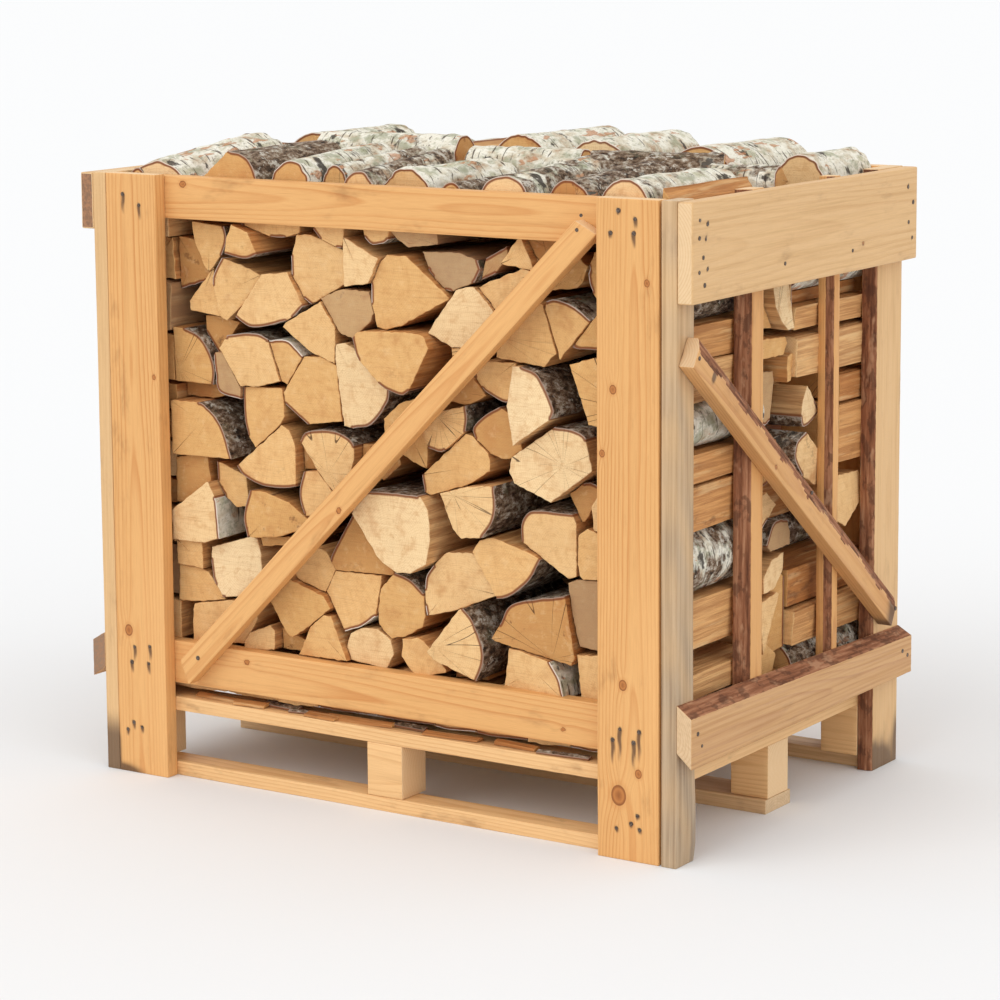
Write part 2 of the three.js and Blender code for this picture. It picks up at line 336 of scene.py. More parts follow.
def end_grain(name):
    """Sawn birch end: faint rings, rays, checks, stains and the bark's own rim."""
    f = Finish(name)
    log = f.attribute("log", "Vector")
    tone = f.split(f.attribute("tone", "Vector"))
    kind = f.split(f.attribute("kind", "Vector"))
    _, across, up = f.split(log)
    radius = f.reach(across, up)
    angle = f.calculate("ARCTAN2", up, across)
    polar = f.node("ShaderNodeCombineXYZ", X=angle, Y=radius, Z=kind[2]).outputs[0]
    base = f.ramp(
        tone[0],
        [(0.0, (190, 138, 82)), (0.25, (216, 168, 106)), (0.5, (226, 180, 120)), (0.75, (234, 196, 142)),
         (1.0, (240, 212, 166))],
    )
    wobble = f.noise(log, (40, 40, 40), 2)
    turn = f.fraction(f.times(f.sum(radius, f.times(wobble, 0.004)), 1 / BIRCH_RING))
    base = f.tint(base, turn, 0.6, 1.0, 0.16, (176, 118, 66))
    rays = f.noise(polar, (55, 30, 1), 3, 0.6)
    base = f.tint(base, rays, 0.48, 0.72, 0.3, (190, 134, 80))
    heart = f.noise(log, (22, 22, 22), 3, 0.6, shift=(2, 6, 1))
    heart_share = f.times(f.band(heart, 0.5, 0.72), f.band(tone[1], 0.0, 1.0, 0.12, 0.75))
    base = f.mix(heart_share, base, colour(184, 122, 70))
    cloud = f.noise(log, (70, 70, 70), 3, 0.6, shift=(1, 4, 7))
    base = f.tint(base, cloud, 0.5, 0.7, 0.35, (196, 140, 84))
    base = f.mix(f.band(cloud, 0.3, 0.46, 0.2, 0), base, colour(240, 208, 158))
    stain = f.noise(log, (38, 38, 38), 4, 0.7, shift=(5, 3, 9))
    stain_share = f.times(f.band(stain, 0.6, 0.7), f.band(tone[1], 0.45, 1.0, 0.0, 0.7))
    base = f.mix(stain_share, base, colour(120, 76, 46))
    fleck = f.noise(log, (240, 240, 240), 3, 0.7, shift=(3, 3, 3))
    base = f.tint(base, fleck, 0.56, 0.75, 0.35, (168, 116, 66))
    saw = f.noise(log, (10, 16, 420), 3, 0.6)
    base = f.tint(base, saw, 0.45, 0.75, 0.22, (170, 118, 74))
    base = f.tint(base, tone[2], 0.3, 1.0, 0.6, (150, 128, 106))
    check = f.noise(polar, (2.4, 2.5, 1), 0, 0.4, shift=(0, 0, 4))
    off = f.calculate("ABSOLUTE", f.less(check, 0.5))
    line = f.times(f.band(off, 0.0012, 0.006, 1, 0), f.band(kind[1], 0.88, 0.92))
    base = f.mix(f.times(line, 0.85), base, colour(70, 42, 26))
    rim = f.sum(f.attribute("rim"), f.times(f.less(wobble, 0.5), 0.002))
    inner = f.band(rim, 0.0036, 0.0058, 1, 0)
    base = f.mix(f.times(inner, 0.9), base, colour(122, 66, 38))
    base = f.mix(f.band(rim, 0.0010, 0.0018, 1, 0), base, bark_line(f, kind))
    grit = f.noise(log, (900, 900, 900), 2)
    height = f.sum(f.sum(f.times(saw, 0.8), f.times(grit, 0.35)), f.times(line, -1.6))
    height = f.sum(height, f.times(rays, 0.5))
    normal = f.bump(height, 0.0009, 0.8)
    return f.finish(base, 0.78, normal, 0.2)


def split_face(name):
    """Birch split along the grain: long fibres, torn ribs and stains."""
    f = Finish(name)
    log = f.attribute("log", "Vector")
    tone = f.split(f.attribute("tone", "Vector"))
    kind = f.split(f.attribute("kind", "Vector"))
    base = f.ramp(
        tone[0],
        [(0.0, (186, 124, 68)), (0.3, (208, 148, 88)), (0.6, (220, 166, 106)), (1.0, (232, 190, 134))],
    )
    ribs = f.noise(log, (5, 150, 150), 4, 0.65)
    base = f.mix(f.band(ribs, 0.4, 0.62, 0.55, 0), base, colour(150, 92, 48))
    pale = f.noise(log, (7, 90, 90), 3, 0.6, shift=(3, 8, 1))
    base = f.tint(base, pale, 0.52, 0.7, 0.5, (236, 200, 146))
    fibre = f.noise(log, (24, 900, 900), 2)
    base = f.tint(base, fibre, 0.4, 0.75, 0.3, (160, 100, 56))
    stain = f.noise(log, (12, 34, 34), 4, 0.65, shift=(6, 1, 4))
    stain_share = f.times(f.band(stain, 0.56, 0.68), f.band(tone[1], 0.2, 1.0, 0.1, 0.8))
    base = f.mix(stain_share, base, colour(112, 72, 44))
    base = f.tint(base, tone[2], 0.3, 1.0, 0.65, (142, 120, 98))
    rim = f.attribute("rim")
    base = f.mix(f.times(f.band(rim, 0.0035, 0.006, 1, 0), 0.85), base, colour(128, 76, 46))
    base = f.mix(f.band(rim, 0.0009, 0.0016, 1, 0), base, bark_line(f, kind))
    height = f.sum(ribs, f.times(fibre, 0.4))
    normal = f.bump(height, 0.0022, 0.9)
    return f.finish(base, 0.7, normal, 0.25)


def birch_bark(name):
    """Papery white bark with dark dashes, running over into grey and mossy fissured bark."""
    f = Finish(name)
    log = f.attribute("log", "Vector")
    kind = f.split(f.attribute("kind", "Vector"))
    patch = f.noise(log, (20, 30, 30), 4, 0.65)
    cream = f.ramp(
        patch,
        [(0.32, (170, 134, 104)), (0.43, (206, 196, 174)), (0.54, (232, 228, 214)), (0.66, (188, 184, 158))],
    )
    moss = f.noise(log, (26, 30, 30), 4, 0.65, shift=(7, 2, 2))
    cream = f.tint(cream, moss, 0.5, 0.64, 0.7, (146, 148, 120))
    dash = f.noise(log, (240, 26, 26), 2, 0.5)
    dash_share = f.band(dash, 0.62, 0.68, 0, 0.85)
    cream = f.mix(dash_share, cream, colour(74, 58, 48))
    scar = f.noise(log, (30, 22, 22), 4, 0.6, shift=(1, 9, 5))
    cream = f.tint(cream, scar, 0.6, 0.66, 0.9, (52, 42, 36))
    peel = f.noise(log, (16, 40, 40), 3, 0.6, shift=(9, 5, 2))
    cream = f.tint(cream, peel, 0.6, 0.64, 0.75, (190, 132, 92))
    pepper = f.noise(log, (170, 190, 190), 3, 0.7, shift=(2, 2, 9))
    cream = f.tint(cream, pepper, 0.56, 0.68, 0.5, (104, 92, 74))
    ridge = f.noise(log, (60, 105, 105), 5, 0.72)
    dark = f.ramp(
        ridge,
        [(0.34, (44, 34, 28)), (0.44, (92, 72, 55)), (0.51, (132, 108, 86)), (0.58, (170, 156, 138)),
         (0.68, (216, 208, 194))],
    )
    rust = f.noise(log, (20, 34, 34), 3, 0.6, shift=(4, 1, 8))
    dark = f.tint(dark, rust, 0.5, 0.68, 0.55, (140, 92, 62), "MULTIPLY")
    scale = f.noise(log, (45, 55, 55), 4, 0.7, shift=(3, 6, 2))
    dark = f.tint(dark, scale, 0.57, 0.62, 0.8, (212, 204, 190))
    dark = f.tint(dark, moss, 0.54, 0.7, 0.4, (126, 126, 98))
    choose = f.sum(kind[0], f.times(f.less(scar, 0.5), 1.6))
    base = f.mix(f.band(choose, 0.4, 0.6), dark, cream)
    height = f.sum(f.times(ridge, f.band(choose, 0.4, 0.6, 1.6, 0.3)), f.times(dash_share, -0.25))
    height = f.sum(height, f.times(f.band(peel, 0.62, 0.66), 0.3))
    normal = f.bump(height, 0.004, 1.0)
    return f.finish(base, 0.75, normal, 0.22)


PLANED = pine("planed_pine", (226, 173, 110), (196, 124, 62), (172, 112, 60), contrast=0.7)
SAWN = pine("sawn_pine", (226, 184, 130), (200, 150, 94), (176, 134, 88), sawn=0.7, contrast=0.4)
WANEY = pine("waney_pine", (220, 166, 104), (184, 120, 66), (170, 112, 64), sawn=0.5)
PALLET = pine("pallet_pine", (236, 192, 136), (204, 146, 88), (180, 128, 78), sawn=0.6, dirt=0.5)
PINE_BARK = pine_bark("pine_bark")
END_GRAIN = end_grain("birch_end_grain")
SPLIT_FACE = split_face("birch_split_face")
BIRCH_BARK = birch_bark("birch_bark")


# ---------------------------------------------------------------- meshes


class Shape:
    """Points, faces and per point values, gathered for one piece."""

    def __init__(self):
        self.points = []
        self.quads = []
        self.quad_looks = []
        self.values = {}
        self.count = 0

    def add(self, points, quads, looks, **values):
        """Three sided faces repeat their last corner."""
        self.points.append(points)
        self.quads.append(np.asarray(quads, int) + self.count)
        self.quad_looks.append(np.asarray(looks, int))
        for key, value in values.items():
            self.values.setdefault(key, []).append(value)
        self.count += len(points)

    def build(self, name, materials, slot, nodes):
        points = np.concatenate(self.points)
        quads = np.concatenate(self.quads)
        looks = np.concatenate(self.quad_looks)
        three = quads[:, 2] == quads[:, 3]
        sizes = np.where(three, 3, 4)
        starts = np.concatenate([[0], np.cumsum(sizes)[:-1]])
        keep = np.ones_like(quads, bool)
        keep[three, 3] = False
        mesh = bpy.data.meshes.new(name)
        mesh.vertices.add(len(points))
        mesh.vertices.foreach_set("co", points.astype(np.float32).ravel())
        corners = quads[keep]
        mesh.loops.add(len(corners))
        mesh.loops.foreach_set("vertex_index", corners.astype(np.int32))
        mesh.polygons.add(len(quads))
        mesh.polygons.foreach_set("loop_start", starts.astype(np.int32))
        mesh.polygons.foreach_set("loop_total", sizes.astype(np.int32))
        mesh.polygons.foreach_set("material_index", looks.astype(np.int32))
        mesh.update(calc_edges=True)
        mesh.polygons.foreach_set("use_smooth", np.ones(len(quads), bool))
        for key, value in self.values.items():
            data = np.concatenate(value)
            vector = data.ndim == 2
            layer = mesh.attributes.new(key, "FLOAT_VECTOR" if vector else "FLOAT", "POINT")
            field = "vector" if vector else "value"
            layer.data.foreach_set(field, data.astype(np.float32).ravel())
        for material in materials:
            mesh.materials.append(material)
        piece = bpy.data.objects.new(name, mesh)
        bpy.context.scene.collection.objects.link(piece)
        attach(piece, "root")
        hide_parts(*nodes)
        return piece


def ripple(rng, count, low, high):
    """A smooth random curve: waves with lengths between low and high, about -1 to 1."""
    waves = 2 * math.pi / rng.uniform(low, high, count)
    phases = rng.uniform(0, 2 * math.pi, count)
    sizes = rng.uniform(0.5, 1, count)
    sizes = sizes / sizes.sum()
    return lambda s: (np.sin(np.multiply.outer(s, waves) + phases) * sizes).sum(-1) * 1.6


# ---------------------------------------------------------------- outlines of billets


TINY = 1e-6
SHARPEST = 0.55  # keeps a sharp corner from growing into a long spike


def outline(points, bark):
    """A convex outline, anticlockwise, as rows of x, z and 1 where the edge after it is bark. bark is
    the first and last corner of the bark edge, or None."""
    pts = np.array(points, float)
    count = len(pts)
    marks = np.zeros(count, bool)
    if bark is not None:
        i = bark[0]
        marks[i] = True
        while i != bark[1]:
            i = (i + 1) % count
            marks[i] = True
    order = sorted(range(count), key=lambda k: (pts[k][0], pts[k][1]))

    def half(sequence):
        chain = []
        for k in sequence:
            while len(chain) > 1:
                a, b = pts[chain[-2]], pts[chain[-1]]
                if (b[0] - a[0]) * (pts[k][1] - a[1]) - (b[1] - a[1]) * (pts[k][0] - a[0]) > TINY:
                    break
                chain.pop()
            chain.append(k)
        return chain[:-1]

    hull = half(order) + half(order[::-1])
    rows = []
    for k, after in zip(hull, hull[1:] + hull[:1]):
        rows.append([*pts[k], 1.0 if marks[k] and marks[after] else 0.0])
    return np.array(rows)


def cut(shape, normal, limit):
    """The part of the outline where the distance along normal is under limit."""
    side = shape[:, :2] @ normal - limit
    rows = []
    for i in range(len(shape)):
        j = (i + 1) % len(shape)
        a, b = side[i], side[j]
        if a <= 0:
            rows.append(shape[i].copy())
            if b > 0:
                t = a / (a - b)
                rows.append([*(shape[i, :2] + t * (shape[j, :2] - shape[i, :2])), 0.0])
        elif b <= 0:
            t = a / (a - b)
            rows.append([*(shape[i, :2] + t * (shape[j, :2] - shape[i, :2])), shape[i, 2]])
    return np.array(rows) if len(rows) > 2 else shape[:0]


def apart(a, b):
    """Whether two outlines' boxes don't touch."""
    a, b = a[:, :2], b[:, :2]
    return (a.min(0) > b.max(0)).any() or (b.min(0) > a.max(0)).any()


def cheapest_line(a, b):
    """The line along an edge of a or b that the two outlines cross least: how deep they cross, the
    line's normal, its place along that, and 1 or -1 for which of them lies behind it."""
    best = None
    for one in (a, b):
        edge = np.roll(one[:, :2], -1, 0) - one[:, :2]
        normals = np.stack([edge[:, 1], -edge[:, 0]], 1)
        normals /= np.maximum(np.linalg.norm(normals, axis=1), TINY)[:, None]
        for n in normals:
            pa, pb = a[:, :2] @ n, b[:, :2] @ n
            for sign in (1, -1):
                low, high = (pa.max(), pb.min()) if sign > 0 else (pb.max(), pa.min())
                depth = low - high
                if best is None or depth < best[0]:
                    best = (depth, n, (low + high) / 2, sign)
    return best


def part_ways(shapes, gap):
    """Outlines that overlap are both trimmed along the line that costs least."""
    for i in range(len(shapes)):
        for j in range(i):
            a, b = shapes[i], shapes[j]
            if len(a) < 3 or len(b) < 3 or apart(a, b):
                continue
            depth, n, middle, sign = cheapest_line(a, b)
            if depth < -gap:
                continue
            first, second = (a, b) if sign > 0 else (b, a)
            first = cut(first, n, middle - gap / 2)
            second = cut(second, -n, -(middle + gap / 2))
            shapes[i], shapes[j] = (first, second) if sign > 0 else (second, first)
    return shapes


def grow(shape, by):
    """The outline moved outwards, so that neighbours meet before they are parted."""
    pts = shape[:, :2]
    edge = np.roll(pts, -1, 0) - pts
    edge /= np.maximum(np.linalg.norm(edge, axis=1), TINY)[:, None]
    out = np.stack([edge[:, 1], -edge[:, 0]], 1)
    both = out + np.roll(out, 1, 0)
    share = np.maximum((both * out).sum(1), SHARPEST)
    grown = shape.copy()
    grown[:, :2] = pts + both * (by / share)[:, None]
    return grown


def area(shape):
    x, z = shape[:, 0], shape[:, 1]
    return 0.5 * abs((x * np.roll(z, -1) - z * np.roll(x, -1)).sum())


CURVE_STEPS = 8  # points between two corners of a bark edge
CORNER_ROOM = (1.3, 0.2)  # first point from a corner: millimetres, or at most this share of the run
EVEN_ROOM = (4.5, 0.35)  # where the even spacing starts, in the same way


def rounded(run):
    """A smooth curve through the corners of a bark edge."""
    padded = np.vstack([2 * run[0] - run[1], run, 2 * run[-1] - run[-2]])
    fine = []
    for k in range(1, len(padded) - 2):
        p0, p1, p2, p3 = padded[k - 1 : k + 3]
        for t in np.linspace(0, 1, CURVE_STEPS, endpoint=False):
            bend = (2 * p0 - 5 * p1 + 4 * p2 - p3) * t * t + (3 * p1 - p0 - 3 * p2 + p3) * t**3
            fine.append(0.5 * (2 * p1 + (p2 - p0) * t + bend))
    return np.array(fine + [padded[-2]])


def walked_points(run, spacing):
    """Points along one run of an outline, closer together beside its corners."""
    steps = np.linalg.norm(np.diff(run, axis=0), axis=1)
    walked = np.concatenate([[0], np.cumsum(steps)])
    length = walked[-1]
    if length <= 0.5:
        return []
    edge = min(CORNER_ROOM[0], length * CORNER_ROOM[1])
    near = min(EVEN_ROOM[0], length * EVEN_ROOM[1])
    count = max(2, int(round((length - 2 * near) / spacing)) + 1)
    at = np.concatenate([[0, edge], np.linspace(near, length - near, count), [length - edge]])
    return zip(np.interp(at, walked, run[:, 0]), np.interp(at, walked, run[:, 1]))


def perimeter(shape, spacing):
    """The outline as evenly walked points: x, z and 1 where the step after it is bark."""
    count = len(shape)
    starts = [i for i in range(count) if shape[i, 2] != shape[i - 1, 2]]
    first = starts[0] if starts else 0
    rows = np.roll(shape, -first, 0)
    out = []
    i = 0
    while i < count:
        bark = rows[i, 2] > 0.5
        j = i
        while bark and j < count and rows[j, 2] > 0.5:
            j += 1
        if not bark:
            j = i + 1
        run = np.array([rows[k % count, :2] for k in range(i, j + 1)])
        if bark and len(run) > 2:
            run = rounded(run)
        out += [[x, z, 1.0 if bark else 0.0] for x, z in walked_points(run, spacing)]
        i = j
    return np.array(out)


TREE_RADIUS = 85.0
LIKELY_RADIUS = (35, 160)
SPLIT_PITH_AWAY = 60  # a billet without bark was split about this far from the pith


def pith_of(shape, rng):
    """The middle of the tree that the billet was split from, worked out from its bark edge."""
    on = [i for i in range(len(shape)) if shape[i, 2] > 0.5]
    middle = shape[:, :2].mean(0)
    if len(on) >= 2:
        pts = np.array([shape[i, :2] for i in on] + [shape[(on[-1] + 1) % len(shape), :2]])
        system = np.c_[2 * pts, np.ones(len(pts))]
        answer = np.linalg.lstsq(system, (pts**2).sum(1), rcond=None)[0]
        centre = answer[:2]
        radius = math.sqrt(max(1.0, answer[2] + centre @ centre))
        inward = middle - pts.mean(0)
        if LIKELY_RADIUS[0] < radius < LIKELY_RADIUS[1] and inward @ (centre - pts.mean(0)) > 0:
            return centre
        return pts.mean(0) + inward / max(TINY, np.linalg.norm(inward)) * TREE_RADIUS
    turn = rng.uniform(0, 2 * math.pi)
    return middle + SPLIT_PITH_AWAY * np.array([math.cos(turn), math.sin(turn)])


# ---------------------------------------------------------------- billets

BILLET_LENGTH = 250
TAPER = 0.03  # share of its width that a billet loses over its length
INSET = 0.3  # kept back inside the outline
WORN = 0.6  # depth of the worn edge of a sawn end
NO_BARK = 0.05  # metres, further than any rim shows
TILT_REACH = 60  # how far along a sawn end's slant fades out

# Where the outline is repeated, in from the seen end.
SIDE_STATIONS = (2.5, 7, 14, 26, 46, 80, 125, 185)
# Rings of a sawn end: how far in from the edge, or the share of the way to the middle. The ends that
# face the inside of the stack have fewer.
CAP_RINGS = ((0.7, 0), (2.2, 0), (4.2, 0), (7, 0), (12, 0), (0, 0.4), (0, 0.75))
FAR_CAP_RINGS = ((0.7, 0), (4.2, 0), (0, 0.6))
TOP_STEP = 6  # distance between the stations of the logs on top, which are seen all along

# How pale, how stained and how grey: normal, pale, orange, grey, dark, yellowish. The dark tone is stain and
# painted shade: it goes mostly on pieces set back deep in the stack.
TONES = {
    "n": (0.5, 0.4, 0.0),
    "p": (0.85, 0.25, 0.0),
    "o": (0.15, 0.6, 0.0),
    "g": (0.4, 0.6, 0.75),
    "d": (0.05, 0.9, 0.25),
    "y": (0.65, 0.5, 0.0),
}
TONE_SPREAD = (0.13, 0.2, 0.1)
PAPERY = ([0.05, 0.2, 0.55, 0.9], [0.35, 0.25, 0.2, 0.2])  # how papery bark may be, and how often


def stations_along(length, step):
    """Where the outline is repeated: close together near the seen end, or evenly all along."""
    if step:
        first = 6
        inner = [2.5, first, *np.arange(first + step, length - first, step), length - first]
    else:
        inner = [s for s in SIDE_STATIONS if s < length - 8]
    return np.array([WORN, *inner, length - WORN])


def wandering(ring, centre, rough, rng):
    """The outline at a distance along the billet: tapered, swaying, ribbed where it is split and
    lumpy where it has bark."""
    flat = ring[:, :2]
    on_bark = (ring[:, 2] > 0.5) | (np.roll(ring[:, 2], 1) > 0.5)
    tangent = np.roll(flat, -1, 0) - np.roll(flat, 1, 0)
    tangent /= np.maximum(np.linalg.norm(tangent, axis=1), TINY)[:, None]
    outward = np.stack([tangent[:, 1], -tangent[:, 0]], 1)
    walked = np.concatenate([[0], np.cumsum(np.linalg.norm(np.diff(flat, axis=0), axis=1))])
    ribs = ripple(rng, 5, 9, 40)
    drift = ripple(rng, 3, 150, 500)
    lumps = ripple(rng, 4, 14, 60)
    swell, swell_b = ripple(rng, 3, 60, 200), ripple(rng, 3, 70, 260)
    sways = [ripple(rng, 2, 300, 700) for _ in range(2)]

    def level(t):
        bark_relief = 0.9 * rough * lumps(walked + 0.35 * t) * lumps(0.6 * t + 0.2 * walked) - 0.2
        bark_relief = bark_relief + (rough - 0.8) * (swell(walked) * swell_b(t + 0.3 * walked) - 0.5)
        split_relief = 0.8 * ribs(walked + 6 * drift(np.array([t]))[0]) - 0.3
        relief = np.where(on_bark, bark_relief, split_relief)
        moved = flat - outward * (INSET - relief)[:, None]
        moved = centre + (moved - centre) * (1 - TAPER * t / BILLET_LENGTH)
        sway = np.array([way(np.array([t]))[0] - way(np.array([0.0]))[0] for way in sways])
        return moved + sway * 0.8

    return level


def rim_distance(ring):
    """Gives how far points of a sawn end are from the bark, in metres."""
    on_bark = ring[:, 2] > 0.5
    starts = ring[on_bark, :2]
    runs = np.roll(ring[:, :2], -1, 0)[on_bark] - starts

    def rim(points):
        if not len(starts):
            return np.full(len(points), NO_BARK)
        away = points[:, None, :] - starts[None]
        share = np.clip((away * runs).sum(-1) / np.maximum((runs * runs).sum(-1), TINY), 0, 1)
        gap = np.linalg.norm(away - share[..., None] * runs, axis=-1).min(1)
        return np.minimum(gap * MM, NO_BARK)

    return rim


def sawn_end(flat, edge, centre, t, rings, rim):
    """The rings of a sawn end at t, from its edge inwards, and how far each is from the bark."""
    far = np.maximum(np.linalg.norm(centre - edge, axis=1), TINY)
    layers, rims = [], []
    for depth, share in rings:
        move = np.minimum(depth / far, 0.35) if share == 0 else np.full(len(flat), share)
        layers.append(np.c_[edge + (centre - edge) * move[:, None], np.full(len(flat), t)])
        rims.append(rim(flat + (centre - flat) * move[:, None]))
    return layers, rims


def tube_faces(total, count):
    """Faces between total rings of count points, and fans to the two middle points after them."""
    index = np.arange(total * count).reshape(total, count)
    a, b = index[:-1], index[1:]
    sides = np.stack([a, np.roll(a, -1, 1), np.roll(b, -1, 1), b], -1)
    first, last = index[0], index[-1]
    tip = total * count
    front = np.stack([np.full(count, tip), np.roll(first, -1), first, first], -1)
    back = np.stack([np.full(count, tip + 1), last, np.roll(last, -1), np.roll(last, -1)], -1)
    return np.concatenate([sides.reshape(-1, 4), front, back])


def turned_inside_out(place):
    """Whether place mirrors a shape."""
    corners = place(np.array([0.0, 1, 0, 0]), np.array([0.0, 0, 1, 0]), np.array([0.0, 0, 0, 1]))
    return np.linalg.det(corners[1:] - corners[0]) < 0


def add_billet(form, shape, place, length, rng, tone="n", paper=None, spacing=6.5, step=None, rough=0.8):
    """One billet. place turns (across, up, in) millimetres into crate metres, and in runs from the seen
    end. spacing and step are the distances between points around it and along it."""
    ring = perimeter(shape, spacing)
    if len(ring) < 6:
        return
    count = len(ring)
    flat = ring[:, :2]
    centre = shape[:, :2].mean(0)
    pith = pith_of(shape, rng)
    level = wandering(ring, centre, rough, rng)
    rim = rim_distance(ring)
    tilt = rng.normal(0, 0.05, 2)
    if paper is None:
        paper = rng.choice(PAPERY[0], p=PAPERY[1])

    stations = stations_along(length, step)
    front, front_rims = sawn_end(flat, level(WORN), centre, 0.0, CAP_RINGS, rim)
    far_rings = CAP_RINGS if step == TOP_STEP else FAR_CAP_RINGS
    back, back_rims = sawn_end(flat, level(length - WORN), centre, length, far_rings, rim)
    layers = front[::-1] + [np.c_[level(t), np.full(count, t)] for t in stations] + back
    rims = front_rims[::-1] + [rim(flat)] * len(stations) + back_rims
    points = np.concatenate(layers + [np.array([[*centre, 0.0], [*centre, length]])])
    rims = np.concatenate(rims + [[NO_BARK, NO_BARK]])

    near = np.clip(1 - points[:, 2] / TILT_REACH, 0, 1)
    points[:, 2] += near * ((points[:, :2] - centre) @ tilt)
    far = np.clip(1 - (length - points[:, 2]) / TILT_REACH, 0, 1)
    points[:, 2] += far * ((points[:, :2] - centre) @ tilt[::-1])

    quads = tube_faces(len(layers), count)
    looks = np.zeros((len(layers) + 1, count), int)
    looks[len(front) : len(front) + len(stations) - 1] = np.where(ring[:, 2] > 0.5, 2, 1)
    if turned_inside_out(place):
        quads = quads[:, ::-1]
        three = quads[:, 0] == quads[:, 1]
        quads[three] = quads[three][:, [1, 2, 3, 3]]
    shades = np.clip(np.array(TONES[tone]) + rng.normal(0, 1, 3) * TONE_SPREAD, 0, 1)
    log = np.c_[points[:, 2], points[:, :2] - pith] * MM + rng.uniform(0, 1, 3) * (3, 0, 0)
    kind = [paper, rng.uniform(0, 1), rng.uniform(0, 9)]
    form.add(
        place(*points.T), quads, looks.ravel(),
        log=log, rim=rims,
        tone=np.tile(shades, (len(points), 1)),
        kind=np.tile(kind, (len(points), 1)),
    )
